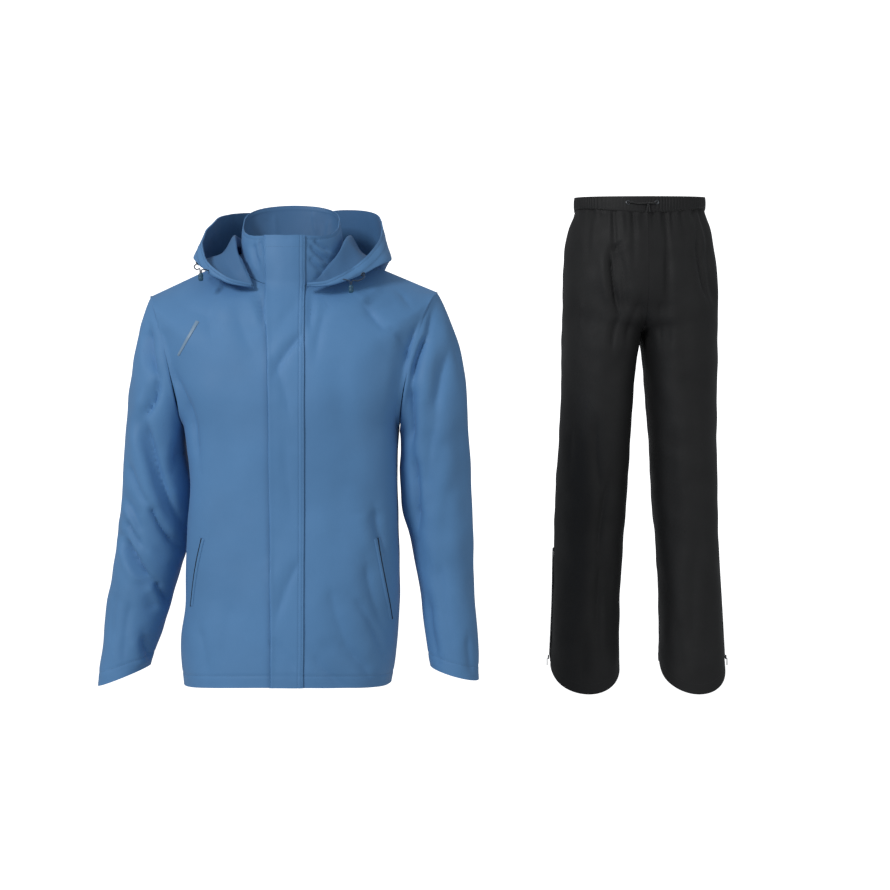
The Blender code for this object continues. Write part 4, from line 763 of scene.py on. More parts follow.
BACK_CREASES = table(CREASE, [
    (-0.2050, -0.150, -0.1450, -0.250, 0.0050, 0.0110, 0.0035),
    (-0.1900, -0.230, -0.1200, -0.300, 0.0040, 0.0120, 0.0025),
    (0.2050, -0.140, 0.1500, -0.240, -0.0040, 0.0110, 0.0035),
    (0.1880, -0.240, 0.1250, -0.330, 0.0050, 0.0120, 0.0022),
    (-0.0600, -0.070, -0.0300, -0.180, 0.0030, 0.0150, 0.0012),
    (0.0700, -0.080, 0.0550, -0.200, -0.0030, 0.0160, 0.0012),
    (-0.1350, -0.420, -0.1000, -0.560, 0.0050, 0.0160, 0.0018),
    (0.1250, -0.440, 0.0850, -0.540, 0.0050, 0.0150, 0.0016),
    (-0.0500, -0.600, -0.0700, -0.720, 0.0030, 0.0150, 0.0014),
    (0.0400, -0.580, 0.0700, -0.710, 0.0030, 0.0140, 0.0015),
    (-0.1400, -0.620, -0.1250, -0.710, 0.0020, 0.0120, 0.0013),
    (0.0050, -0.350, -0.0050, -0.520, 0.0040, 0.0200, 0.0010),
])
SLEEVE_RIGHT_CREASES = table(CREASE, [
    (-0.2410, -0.113, -0.2189, -0.201, 0.0085, 0.0085, 0.0060),
    (-0.2189, -0.201, -0.2512, -0.273, -0.0068, 0.0102, 0.0052),
    (-0.2478, -0.266, -0.1848, -0.460, 0.0068, 0.0119, 0.0062),
    (-0.2767, -0.344, -0.2359, -0.426, 0.0051, 0.0085, 0.0035),
    (-0.2393, -0.415, -0.1917, -0.497, 0.0051, 0.0102, 0.0065),
    (-0.2835, -0.409, -0.2529, -0.473, -0.0034, 0.0068, 0.0030),
    (-0.2852, -0.443, -0.2478, -0.494, 0.0034, 0.0068, 0.0045),
    (-0.2852, -0.473, -0.2308, -0.553, 0.0085, 0.0085, 0.0070),
    (-0.2342, -0.551, -0.2138, -0.596, -0.0017, 0.0068, 0.0045),
    (-0.2529, -0.640, -0.2325, -0.708, 0.0034, 0.0085, 0.0045),
    (-0.3039, -0.565, -0.3107, -0.664, 0.0017, 0.0136, 0.0018),
    (-0.2733, -0.579, -0.2835, -0.694, 0.0034, 0.0119, 0.0020),
    (-0.2053, -0.068, -0.2189, -0.119, 0.0017, 0.0085, 0.0016),
    (-0.1746, -0.289, -0.1985, -0.357, 0.0034, 0.0085, 0.0030),
])
SLEEVE_LEFT_CREASES = table(CREASE, [
    (0.2524, -0.051, 0.2371, -0.126, 0.0034, 0.0085, 0.0060),
    (0.2371, -0.126, 0.2099, -0.211, 0.0051, 0.0119, 0.0085),
    (0.2099, -0.211, 0.2065, -0.327, 0.0034, 0.0136, 0.0080),
    (0.2082, -0.327, 0.2167, -0.477, -0.0034, 0.0119, 0.0060),
    (0.2728, -0.153, 0.2507, -0.273, 0.0051, 0.0119, 0.0035),
    (0.2830, -0.102, 0.2949, -0.191, 0.0034, 0.0102, 0.0020),
    (0.2507, -0.273, 0.2371, -0.409, 0.0051, 0.0136, 0.0024),
    (0.2779, -0.374, 0.2677, -0.511, 0.0051, 0.0170, 0.0016),
    (0.2371, -0.579, 0.2541, -0.688, 0.0034, 0.0085, 0.0030),
    (0.3051, -0.640, 0.3153, -0.715, 0.0017, 0.0085, 0.0022),
    (0.2949, -0.273, 0.3017, -0.409, 0.0034, 0.0153, 0.0014),
    (0.2575, -0.511, 0.2779, -0.647, 0.0051, 0.0136, 0.0018),
])
SLEEVE_BACK_CREASES = table(CREASE, [
    (-0.2650, -0.120, -0.2150, -0.230, 0.0060, 0.0110, 0.0045),
    (-0.2900, -0.300, -0.2250, -0.400, 0.0050, 0.0100, 0.0040),
    (-0.2950, -0.400, -0.2150, -0.480, -0.0040, 0.0110, 0.0055),
    (-0.3000, -0.480, -0.2350, -0.570, 0.0050, 0.0100, 0.0040),
    (-0.2600, -0.600, -0.2500, -0.700, 0.0030, 0.0100, 0.0025),
    (0.2700, -0.110, 0.2250, -0.240, 0.0060, 0.0120, 0.0045),
    (0.2950, -0.320, 0.2250, -0.410, 0.0050, 0.0110, 0.0045),
    (0.3000, -0.430, 0.2300, -0.500, -0.0040, 0.0100, 0.0035),
    (0.2600, -0.560, 0.2650, -0.690, 0.0030, 0.0110, 0.0025),
])
COLLAR_CREASES = table(CREASE, [
    (0.0366, 0.026, 0.0737, -0.006, 0.003, 0.005, 0.0016),
    (0.0430, 0.034, 0.0740, 0.016, 0.002, 0.004, 0.0012),
    (0.0360, 0.004, 0.0620, -0.022, 0.002, 0.006, 0.0012),
    (-0.0600, 0.030, -0.0470, -0.018, 0.003, 0.006, 0.0014),
    (-0.0480, 0.034, -0.0420, 0.000, 0.001, 0.005, 0.0010),
])
COLLAR_BACK_CREASES = table(CREASE, [
    (-0.0400, 0.100, -0.0250, 0.050, 0.003, 0.007, 0.0012),
    (0.0300, 0.105, 0.0380, 0.060, 0.002, 0.007, 0.0012),
    (0.0620, 0.090, 0.0560, 0.040, 0.002, 0.006, 0.0010),
])
print("creases:", len(BODY_CREASES["x0"]), "body,", len(SLEEVE_RIGHT_CREASES["x0"]), "right sleeve,",
      len(SLEEVE_LEFT_CREASES["x0"]), "left sleeve")


# %% [markdown]
# ## Jacket panels
# The fronts, the back and the sleeves are cut apart and sewn together, so each is its own shell. Each panel's edge
# rolls down into its seam, because the seam allowance inside pulls on it. Twenty millimetres above the hem and
# above each cuff, the stitches that hold the turned-up edge press a shallow line into the cloth.
#
# %% Fronts and back
SHOULDER, HOLE, BODY = 10, 44, 84
TORSO_LEVELS = spaced((0, 1, SHOULDER), (1, 2, HOLE), (2, 2.93, BODY), (2.93, 3, 16))
FRONT_ACROSS = np.linspace(0, 1, 85)
BACK_ACROSS = np.linspace(0, 1, 61)
HEM_AT = 0.020
HEM_LINE = ("bottom", HEM_AT, 0.0007, 0.0022)


def front_grid(side):
    """One front: the form, its broad folds, its creases beside and under the flap, and its pressed edges."""
    points = half_torso(side, -1, TORSO_LEVELS, FRONT_ACROSS)
    points = softened(points, TORSO_LEVELS, 1.0, 0.22, end=True)
    points = softened(points, TORSO_LEVELS, 2.0, 0.12, end=True)
    calm = held(points.shape, top=True, end=True, reach=0.04)
    covered = under_flap(points)
    points = soft_folds(points, facing(points, body_axis(points)), BODY_FOLDS, calm * (1 - covered))
    normals = facing(points, body_axis(points))
    points = creased(points, normals, BODY_CREASES, calm=calm * (1 - covered), strength=2.2)
    points = creased(points, normals, FLAP_CREASES, calm=calm * covered, strength=2.6)
    points = points + normals * (rumpled(points, 0.09, 0.0007, 3) * calm)[..., None]
    normals = facing(points, body_axis(points))
    points = pressed(points, normals, [("end", *SEAM_ROLL), HEM_LINE])
    return points, facing(points, body_axis(points))


def back_grid():
    """The back in one piece, from the right side seam to the left."""
    right = half_torso(WEARERS_RIGHT, 1, TORSO_LEVELS, BACK_ACROSS)[:, ::-1]
    left = half_torso(WEARERS_LEFT, 1, TORSO_LEVELS, BACK_ACROSS)
    points = np.concatenate([right, left[:, 1:]], axis=1)
    normals = facing(points, body_axis(points))
    calm = held(points.shape, top=True, start=True, end=True, reach=0.03)
    points = creased(points, normals, BACK_CREASES, side=1, calm=calm)
    points = points + normals * (rumpled(points, 0.10, 0.0008, 5) * calm)[..., None]
    normals = facing(points, body_axis(points))
    points = pressed(points, normals, [("start", *SEAM_ROLL), ("end", *SEAM_ROLL), HEM_LINE])
    return points, facing(points, body_axis(points))


def cloth_panel(name, grid, node, finish, slot_name, closed=False, thick=CLOTH_THICK, **edges):
    """A panel of cloth from its outer grid: its shell and its finish. The area of its cut, the sum of the grid's own
    small quads, is worked out but not kept."""
    points, normals = grid
    outer = drawn_in(points, **edges)
    piece = dress(shell(name, outer, outer - normals * thick, closed), node, finish, slot_name)
    a = np.diff(outer, axis=0)[:, :-1]
    b = np.diff(outer, axis=1)[:-1]
    area = np.linalg.norm(np.cross(a, b), axis=-1).sum()
    far = from_edges(outer)
    if closed:
        around = np.linalg.norm(outer[:, 0] - outer[:, -1], axis=-1)
        area += (around[:-1] * np.linalg.norm(a[:, 0], axis=-1)).sum()
    return piece


fronts = {side["name"]: front_grid(side) for side in SIDES}
back = back_grid()
BLUE = (blue_cloth, "blue_coated_cloth")
for name, grid in fronts.items():
    cloth_panel("front_" + name, grid, "jacket_front_" + name, *BLUE, top=True, end=True)
cloth_panel("back", back, "jacket_back", *BLUE, top=True, start=True, end=True)

# %% [markdown]
# A sleeve is a tube of rings that starts at the armhole's own stitches and ends at a slanted cuff. The ring's front
# half takes the creases seen in front, and its back half has its own.
#
# %% Sleeves

def sleeve_rings(side):
    """Rings from the armhole to the cuff. Each starts at the shoulder tip and goes round by the front."""
    rows = SLEEVE_LEFT if side["sign"] > 0 else SLEEVE_RIGHT
    turn = np.linspace(0, math.pi, HOLE + 1)
    turns = np.concatenate([turn, turn[-2:0:-1]])
    faces = np.concatenate([-np.ones(HOLE + 1), np.ones(HOLE - 1)])
    along = spaced((0, 0.05, 8), (0.05, 0.93, 120), (0.93, 1.0, 18))
    x_in, z_in, x_out, z_out, y, depth, bow = column(
        rows, "along", along, "x_in", "z_in", "x_out", "z_out", "y", "depth", "bow").T[..., None]
    swing, reach = np.cos(turns)[None, :], (np.sin(turns) * faces)[None, :]
    x = (x_in + x_out) / 2 + (x_out - x_in) / 2 * swing - bow * ARMHOLE_INSET * reach**2
    z = (z_in + z_out) / 2 + (z_out - z_in) / 2 * swing
    points = np.stack([x * side["sign"], y + depth * reach * (1 - bow * ARMHOLE_EGG * swing), z], axis=-1)
    hole = np.concatenate([armhole(side, turn, -1), armhole(side, turn[-2:0:-1], 1)])
    points[0] = hole * np.array([side["sign"], 1, 1])
    axis = points.mean(axis=1, keepdims=True)
    calm = held(points.shape, top=True, bottom=True, reach=0.05)
    points = soft_folds(points, facing(points, axis, closed=True), SLEEVE_FOLDS, calm)
    normals = facing(points, axis, closed=True)
    creases = SLEEVE_LEFT_CREASES if side["sign"] > 0 else SLEEVE_RIGHT_CREASES
    points = creased(points, normals, creases, calm=calm, strength=2.0)
    points = creased(points, normals, SLEEVE_BACK_CREASES, side=1, calm=calm, strength=1.8)
    points = points + normals * (rumpled(points, 0.06, 0.0010, 7) * calm)[..., None]
    normals = facing(points, axis, closed=True)
    points = pressed(points, normals, [("top", *SEAM_ROLL), ("bottom", 0.024, 0.0008, 0.0022)])
    return points, facing(points, axis, closed=True)


sleeves = {side["name"]: sleeve_rings(side) for side in SIDES}
for name, grid in sleeves.items():
    cloth_panel("sleeve_" + name, grid, "jacket_sleeve_" + name, *BLUE, closed=True, top=True)

# %% [markdown]
# The stand collar is two layers of cloth, so it is thicker. It starts from the neck's stitches, stands up at the
# front and leans out a little at the back, where its top is highest. Its top edge is stitched 6 mm down.
#
# %% Collar

def collar_grid():
    """The collar from the neck line to its top edge, from the zip round the back to the zip again."""
    neck = [half_torso(side, -1, np.zeros(1), FRONT_ACROSS)[0] for side in (WEARERS_RIGHT, WEARERS_LEFT)]
    nape = [half_torso(side, 1, np.zeros(1), BACK_ACROSS)[0] for side in (WEARERS_RIGHT, WEARERS_LEFT)]
    base = np.concatenate([neck[0], nape[0][-2::-1], nape[1][1:-1], neck[1][::-1]])
    reach = np.concatenate([[0], np.cumsum(np.linalg.norm(np.diff(base, axis=0), axis=1))])
    turn = 1 - np.sqrt((2 * reach / reach[-1] - 1)**2 + 0.12**2 * (1 - (2 * reach / reach[-1] - 1)**2))
    spread, z = column(COLLAR_TOP, "turn", turn, "spread", "z").T
    top = base * np.stack([spread, spread, np.zeros(len(base))], axis=-1)
    top[:, 2] = z
    top[:, 0] += COLLAR_LEAN * np.sin(turn * math.pi / 2)
    t = spaced((0, 0.85, 22), (0.85, 1, 8))[:, None, None]
    points = base[None] * (1 - t) + top[None] * t
    points[..., :2] *= 1 + 0.03 * np.sin(t * math.pi)
    axis = points * np.array([0, 0, 1.0])
    normals = facing(points, axis)
    calm = held(points.shape, top=True, bottom=True, start=True, end=True, reach=0.12)
    calm = calm * (1 - under_flap(points, 0.008))
    points = creased(points, normals, COLLAR_CREASES, calm=calm, strength=3.6)
    points = creased(points, normals, COLLAR_BACK_CREASES, side=1, calm=calm)
    points = points + normals * (rumpled(points, 0.05, 0.0006, 11) * calm)[..., None]
    points = pressed(points, facing(points, axis), [("bottom", 0.006, 0.0005, 0.0018)])
    return points, facing(points, axis)


collar = collar_grid()
lifted = collar[0].copy()
lifted[0, :, 2] += 2 * SEAM_GAP
cloth_panel("collar", (lifted, collar[1]), "jacket_collar", *BLUE, thick=0.0016)

# %% [markdown]
# The storm flap covers the zip from the hem to the top of the collar. It is a double strip, sewn down along its
# right edge as seen from the front with two lines of stitches, and its other edge is free and stands off a little,
# which draws the dark line down the jacket. It follows the fronts at a small distance.
#
# %% Storm flap
FLAP_OVER_ZIP = 0.0035
FLAP_LIES_OFF = 0.0014
FLAP_THICK = 0.0018


def flap_x(z, sign, share):
    """Where a column of the flap lies: a share of the way from beside the zip to the flap's own edge."""
    by_zip = sign * FLAP_OVER_ZIP + lean_at(z)
    edge = smooth(FLAP_EDGES["z"], FLAP_EDGES["right" if sign > 0 else "left"], z)
    return by_zip * (1 - share) + edge * share

def crossing(points, normals, x):
    """Where each row of a grid crosses the distances x from the middle, by linear steps between its columns."""
    way = np.sign(points[:, -1, 0] - points[:, 0, 0])[:, None]
    ahead = ((points[:, None, :, 0] * way[..., None]) < (x * way)[..., None]).sum(-1)
    k = np.clip(ahead, 1, points.shape[1] - 1)
    row = np.arange(len(points))[:, None]
    a, b = points[row, k - 1], points[row, k]
    share = np.clip((x - a[..., 0]) / (b[..., 0] - a[..., 0]), 0, 1)[..., None]
    return a + (b - a) * share, unit(normals[row, k - 1] * (1 - share) + normals[row, k] * share)


def flap_half(sign, shares):
    """The flap's columns on one side of the zip, from the hem up the front and on up the collar."""
    body = fronts["left" if sign > 0 else "right"]
    body = body[0][::-1, :60], body[1][::-1, :60]
    stand = (collar[0][1:, ::-1], collar[1][1:, ::-1]) if sign > 0 else (collar[0][1:], collar[1][1:])
    stand = stand[0][:, :60], stand[1][:, :60]
    halves = []
    for points, normals in (body, stand):
        x = np.stack([flap_x(points[:, 0, 2], sign, share) for share in shares], axis=-1)
        halves.append(crossing(points, normals, x))
    points = np.concatenate([halves[0][0][:-1], halves[1][0]])
    normals = np.concatenate([halves[0][1][:-1], halves[1][1]])
    return points, normals


def flap_grid():
    """Both halves side by side, lifted off the fronts, with the free edge standing off."""
    halves = [flap_half(-1, spaced((1, 0.86, 5), (0.86, 0, 8))), flap_half(1, spaced((0, 0.6, 8), (0.6, 1, 16)))]
    points = np.concatenate([h[0] for h in halves], axis=1)
    normals = unit(evened(np.concatenate([h[1] for h in halves], axis=1), 12))
    far = from_edges(points)["start"]
    stand_off = 0.0016 * np.exp(-(far / 0.006)**2)
    points = evened(points, 2) + normals * (FLAP_LIES_OFF + stand_off)[..., None]
    points = points + normals * (rumpled(points, 0.045, 0.00025, 13) + 0.00025)[..., None]
    outer = points + normals * FLAP_THICK
    marks = [("end", 0.0025, 0.0007, 0.0011), ("end", 0.0085, 0.0007, 0.0011), ("end", 0.0, 0.0006, 0.0012),
             ("start", 0.0018, 0.0014, 0.0010)]
    return points, pressed(outer, normals, marks), normals


flap_inner, flap_outer, flap_normals = flap_grid()
flap = dress(shell("storm_flap", flap_outer, flap_inner), "jacket_storm_flap", *BLUE)
flap_far = from_edges(flap_outer)
print("flap %.0f mm wide, %.0f mm long" % (flap_far["start"][:, -1].max() * 1000, flap_far["top"][-1].max() * 1000))


# %% [markdown]
# ## Trouser legs
# Each leg is a front and a back, sewn at the side and at the inside leg. The weight hangs from an elastic waist,
# so the longest folds start at its gathers and fall almost straight. The hem is stitched 20 mm up, and the side
# opens there with a short zip. The trousers are modelled round their own middle, which stands beside the jacket.
#
# %% Tables of the trousers
TROUSERS_AT = (0.685, 0.495, 0.0)
TONGUE_DROP = 0.056
GATHER_HALF_WIDTH = 0.0065
LEG_FRONT = table("level mid_x mid_y mid_z hand_x hand_y edge_left edge_right edge_z edge_hand", [
    (0.00, 0.0000, -0.100, 0.168, 0.078, 0.000, 0.1370, 0.1390, 0.187, -0.064),
    (0.15, 0.0000, -0.112, 0.125, 0.088, 0.000, 0.1500, 0.1565, 0.140, -0.070),
    (0.40, 0.0000, -0.119, 0.050, 0.094, 0.000, 0.1620, 0.1638, 0.060, -0.076),
    (0.70, 0.0000, -0.104, -0.025, 0.092, -0.012, 0.1650, 0.1660, -0.012, -0.084),
    (0.88, 0.0000, -0.066, -0.064, 0.040, -0.072, 0.1656, 0.1670, -0.058, -0.094),
    (1.00, 0.0012, 0.004, -0.085, 0.000, -0.154, 0.1656, 0.1677, -0.085, -0.118),
    (1.10, 0.0095, 0.006, -0.135, -0.007, -0.148, 0.1660, 0.1677, -0.135, -0.118),
    (1.30, 0.0195, 0.008, -0.274, -0.004, -0.132, 0.1645, 0.1720, -0.274, -0.114),
    (1.50, 0.0270, 0.009, -0.412, 0.000, -0.114, 0.1662, 0.1800, -0.412, -0.110),
    (1.70, 0.0370, 0.010, -0.550, 0.000, -0.104, 0.1700, 0.1850, -0.550, -0.102),
    (1.85, 0.0430, 0.010, -0.660, 0.000, -0.102, 0.1765, 0.1872, -0.660, -0.100),
    (2.00, 0.0430, 0.010, -0.782, 0.000, -0.104, 0.1835, 0.1925, -0.782, -0.102),
])
LEG_BACK = table("level mid_x mid_y mid_z hand_x hand_y edge_left edge_right edge_z edge_hand", [
    (0.00, 0.0000, 0.102, 0.196, 0.078, 0.000, 0.1370, 0.1390, 0.187, 0.064),
    (0.15, 0.0000, 0.114, 0.145, 0.088, 0.000, 0.1500, 0.1565, 0.140, 0.070),
    (0.40, 0.0000, 0.124, 0.060, 0.094, 0.000, 0.1620, 0.1638, 0.060, 0.078),
    (0.70, 0.0000, 0.116, -0.018, 0.092, 0.016, 0.1650, 0.1660, -0.012, 0.088),
    (0.88, 0.0000, 0.076, -0.062, 0.040, 0.078, 0.1656, 0.1670, -0.058, 0.102),
    (1.00, 0.0012, 0.004, -0.085, 0.000, 0.168, 0.1656, 0.1677, -0.085, 0.124),
    (1.10, 0.0095, 0.006, -0.135, -0.007, 0.160, 0.1660, 0.1677, -0.135, 0.124),
    (1.30, 0.0195, 0.008, -0.274, -0.004, 0.142, 0.1645, 0.1720, -0.274, 0.120),
    (1.50, 0.0270, 0.009, -0.412, 0.000, 0.118, 0.1662, 0.1800, -0.412, 0.114),
    (1.70, 0.0370, 0.010, -0.550, 0.000, 0.108, 0.1700, 0.1850, -0.550, 0.106),
    (1.85, 0.0430, 0.010, -0.660, 0.000, 0.104, 0.1765, 0.1872, -0.660, 0.102),
    (2.00, 0.0430, 0.010, -0.782, 0.000, 0.104, 0.1835, 0.1925, -0.782, 0.102),
])
GATHERS_LEFT = table("x drift length deep", [
    (0.0120, 0.002, 0.050, 0.0025),
    (0.0365, 0.004, 0.190, 0.0060),
    (0.0530, -0.006, 0.070, 0.0040),
    (0.0735, 0.002, 0.080, 0.0035),
    (0.1020, 0.010, 0.150, 0.0045),
    (0.1180, 0.026, 0.230, 0.0050),
])
GATHERS_RIGHT = table("x drift length deep", [
    (0.0080, 0.004, 0.050, 0.0025),
    (0.0300, -0.002, 0.130, 0.0045),
    (0.0680, -0.010, 0.240, 0.0050),
    (0.0820, 0.000, 0.070, 0.0030),
    (0.0930, 0.002, 0.080, 0.0030),
    (0.1130, 0.002, 0.110, 0.0035),
])
LEG_FOLDS = table("x0 z0 x1 z1 wide deep", [
    (-0.0620, 0.100, -0.0460, -0.040, 0.010, 0.0050),
    (0.0410, 0.080, 0.0420, -0.120, 0.011, 0.0050),
    (0.1220, 0.100, 0.1500, -0.020, 0.010, 0.0045),
    (-0.0700, -0.560, -0.0640, -0.760, 0.018, 0.0050),
    (0.1400, -0.600, 0.1450, -0.770, 0.020, 0.0045),
    (-0.0300, -0.110, -0.0900, -0.190, 0.016, 0.0015),
    (0.0300, -0.110, 0.0900, -0.200, 0.016, 0.0015),
])
LEG_CREASES = table(CREASE, [
    (0.6067, 0.090, 0.6275, -0.047, 0.0042, 0.0083, 0.0065),
    (0.6275, -0.047, 0.6129, -0.122, 0.0042, 0.0083, 0.0035),
    (0.6067, 0.090, 0.6379, 0.105, 0.0021, 0.0052, 0.0030),
    (0.7127, -0.014, 0.7168, -0.107, 0.0021, 0.0104, 0.0030),
    (0.7895, 0.119, 0.8207, -0.022, 0.0062, 0.0104, 0.0050),
    (0.5527, -0.014, 0.5506, -0.076, 0.0021, 0.0062, -0.0018),
    (0.5797, -0.263, 0.5963, -0.429, 0.0062, 0.0125, 0.0030),
    (0.6129, -0.388, 0.5880, -0.554, 0.0062, 0.0125, 0.0040),
    (0.5963, -0.546, 0.5880, -0.762, 0.0042, 0.0145, 0.0045),
    (0.5340, -0.284, 0.5298, -0.367, 0.0021, 0.0083, 0.0016),
    (0.5049, -0.388, 0.5174, -0.637, 0.0062, 0.0187, 0.0018),
    (0.7376, -0.263, 0.7542, -0.554, 0.0062, 0.0187, 0.0022),
    (0.7958, -0.512, 0.7874, -0.762, 0.0042, 0.0166, 0.0028),
    (0.7625, -0.014, 0.7750, -0.222, 0.0042, 0.0166, 0.0020),
    (0.6711, -0.014, 0.6420, -0.107, 0.0042, 0.0083, 0.0022),
    (0.6711, -0.014, 0.7043, -0.107, 0.0042, 0.0083, 0.0022),
    (0.5672, -0.679, 0.5548, -0.824, 0.0042, 0.0166, 0.0022),
    (0.7542, -0.679, 0.7750, -0.824, 0.0042, 0.0166, 0.0020),
])
LEG_BACK_CREASES = table(CREASE, [
    (0.6500, 0.060, 0.5900, -0.060, 0.0060, 0.0120, 0.0040),
    (0.7200, 0.060, 0.7800, -0.070, -0.0060, 0.0120, 0.0040),
    (0.6400, -0.060, 0.5700, -0.130, 0.0050, 0.0110, 0.0030),
    (0.7300, -0.050, 0.8000, -0.120, -0.0050, 0.0110, 0.0030),
    (0.6000, -0.330, 0.5300, -0.380, 0.0060, 0.0120, 0.0030),
    (0.6050, -0.400, 0.5400, -0.430, -0.0040, 0.0110, 0.0025),
    (0.7600, -0.340, 0.8200, -0.390, 0.0050, 0.0120, 0.0030),
    (0.7550, -0.410, 0.8200, -0.450, -0.0040, 0.0120, 0.0024),
    (0.5600, -0.560, 0.5500, -0.760, 0.0050, 0.0160, 0.0022),
    (0.7900, -0.550, 0.8000, -0.780, 0.0050, 0.0160, 0.0022),
])
print("leg creases:", len(LEG_CREASES["x0"]), "in front,", len(LEG_BACK_CREASES["x0"]), "behind")

# %% [markdown]
# The elastic pulls the top edge in, and the extra cloth stands in small gathers just below it. They start every
# nine millimetres or so, no two alike, and die away in 20 to 60 mm. A few larger ones run on as long folds.
#
# %% Legs

def half_legs(side, face, level, across):
    """A front (face -1) or back (face +1) of one leg, from the centre seam and inseam out to the side seam."""
    rows = LEG_FRONT if face < 0 else LEG_BACK
    start = column(rows, "level", level, "mid_x", "mid_y", "mid_z")
    inseam = column(LEG_BACK, "level", level, "mid_x", "mid_y", "mid_z")
    start = np.where((level > 1)[:, None], inseam, start)
    hand = column(rows, "level", level, "hand_x", "hand_y")
    edge_x, edge_z, edge_hand = column(rows, "level", level, "edge_" + side["name"], "edge_z", "edge_hand").T
    none = np.zeros(len(level))
    reach = np.stack([hand[:, 0], hand[:, 1], none], axis=-1)
    end_y = smooth(np.array([0.0, 0.7, 1.2, 2.0]), np.array([0.0, 0.002, 0.006, 0.010]), level)
    end = np.stack([edge_x, end_y, edge_z], axis=-1)
    points = between(start, reach, np.stack([none, edge_hand, none], axis=-1), end, across)
    points[..., 0] = np.maximum(points[..., 0], 0)
    if face < 0:
        low = np.clip((level - 1.72) / 0.28, 0, 1)[:, None]**1.5
        hump = np.clip(np.sin(across * math.pi), 0, 1)**0.75
        points[..., 2] -= TONGUE_DROP * low * hump[None, :]
    points[..., 0] *= side["sign"]
    return points + np.array(TROUSERS_AT)

def leg_axis(points):
    """A line inside the cloth at each row, midway between its two edges."""
    middle = (points[:, :1] + points[:, -1:]) / 2
    middle[..., 1] = TROUSERS_AT[1] + 0.01
    return middle

def hung(points, normals, gathers, sign, band_z, calm):
    """Sinks the gathers that hang from the waistband, deepest at the top and fading downwards."""
    down = band_z[None, :] - points[..., 2]
    across = sign * (points[..., 0] - TROUSERS_AT[0])
    depth = np.zeros(down.shape)
    for x, drift, length, deep in zip(*(gathers[k] for k in ("x", "drift", "length", "deep"))):
        along = np.clip(down / length, 0, 1)
        off = across - x * (1 + 0.9 * np.minimum(down, 0.06)) - drift * along
        depth += deep * (1 - along)**0.8 * np.exp(-(off / GATHER_HALF_WIDTH)**2)
    return points - normals * (calm * depth)[..., None]

def gathered_top(points, normals, sign, seed):
    """Small troughs below the band, uneven in place, depth and length, that start from the band's seam."""
    draw = np.random.default_rng(seed)
    starts = np.arange(0.004, 0.20, 0.0088)
    starts = starts + draw.uniform(-0.0030, 0.0030, len(starts))
    deep, long = draw.uniform(0.0007, 0.0024, len(starts)), draw.uniform(0.018, 0.055, len(starts))
    lean, wide = draw.uniform(-0.06, 0.06, len(starts)), draw.uniform(0.0020, 0.0034, len(starts))
    drop = points[0, :, 2][None, :] - points[..., 2]
    x = sign * (points[..., 0] - TROUSERS_AT[0])
    depth = np.zeros(x.shape)
    for k in range(len(starts)):
        off = x - starts[k] - lean[k] * drop
        depth += deep[k] * np.exp(-(off / (wide[k] + drop * 0.05))**2) * np.exp(-(drop / long[k])**1.6)
    return points - normals * (depth * ease(drop / 0.006))[..., None]


LEG_LEVELS_FINE = spaced((0, 0.2, 20), (0.2, 0.88, 34), (0.88, 1.12, 14), (1.12, 1.9, 56), (1.9, 2.0, 12))
LEG_HEM = ("bottom", 0.021, 0.0007, 0.0022)


def leg_grid(side, face):
    """A front or back of one leg, from the centre seam and inseam out to the side seam."""
    points = half_legs(side, face, LEG_LEVELS_FINE, np.linspace(0, 1, 101))
    calm = held(points.shape, start=True, end=True, reach=0.04)
    points = softened(points, LEG_LEVELS_FINE, 1.0, 0.12, start=True, end=True)
    axis = leg_axis(points)
    if face < 0:
        gathers = GATHERS_LEFT if side["sign"] > 0 else GATHERS_RIGHT
        points = hung(points, facing(points, axis), gathers, side["sign"], points[0, :, 2], calm)
        points = soft_folds(points, facing(points, axis), LEG_FOLDS, calm, TROUSERS_AT[0])
        points = creased(points, facing(points, axis), LEG_CREASES, calm=calm)
    else:
        points = creased(points, facing(points, axis), LEG_BACK_CREASES, side=1, calm=calm)
    points = gathered_top(points, facing(points, axis), side["sign"], 20 + face + 3 * side["sign"])
    points = points + facing(points, axis) * (rumpled(points, 0.08, 0.0009, 17 + face) * calm)[..., None]
    points = pressed(points, facing(points, axis), [("end", *SEAM_ROLL), LEG_HEM])
    return points, facing(points, axis)


legs = {}
BLACK = (black_cloth, "black_coated_cloth")
for side in SIDES:
    for face, label in ((-1, "front_"), (1, "back_")):
        legs[label + side["name"]] = leg_grid(side, face)
        cloth_panel("leg_" + label + side["name"], legs[label + side["name"]], "trousers_" + label + side["name"],
                    *BLACK, top=True, start=True, end=True)

# %% [markdown]
# The waistband is one strip round an elastic. Where it is relaxed the strip stands in fine upright ribs, more at
# the sides than over the middle of the front. Two rows of stitches run round it and pinch the ribs.
#
# %% Waistband

def band_line(count):
    """The band's foot round the waist: the four leg panels' top rows, end to end, at even steps."""
    quarters = []
    for side, face in ((WEARERS_LEFT, -1), (WEARERS_LEFT, 1), (WEARERS_RIGHT, 1), (WEARERS_RIGHT, -1)):
        row = half_legs(side, face, np.array([0.0]), np.linspace(0, 1, 201))[0]
        forward = (side["sign"] > 0) == (face < 0)
        quarters.append(row[:-1] if forward else row[:0:-1])
    ring = np.concatenate(quarters)
    ring = np.concatenate([ring, ring[:1]])
    reach = np.concatenate([[0], np.cumsum(np.linalg.norm(np.diff(ring, axis=0), axis=1))])
    at = np.linspace(0, reach[-1], count, endpoint=False)
    return np.stack([np.interp(at, reach, ring[:, k]) for k in range(3)], axis=-1), at


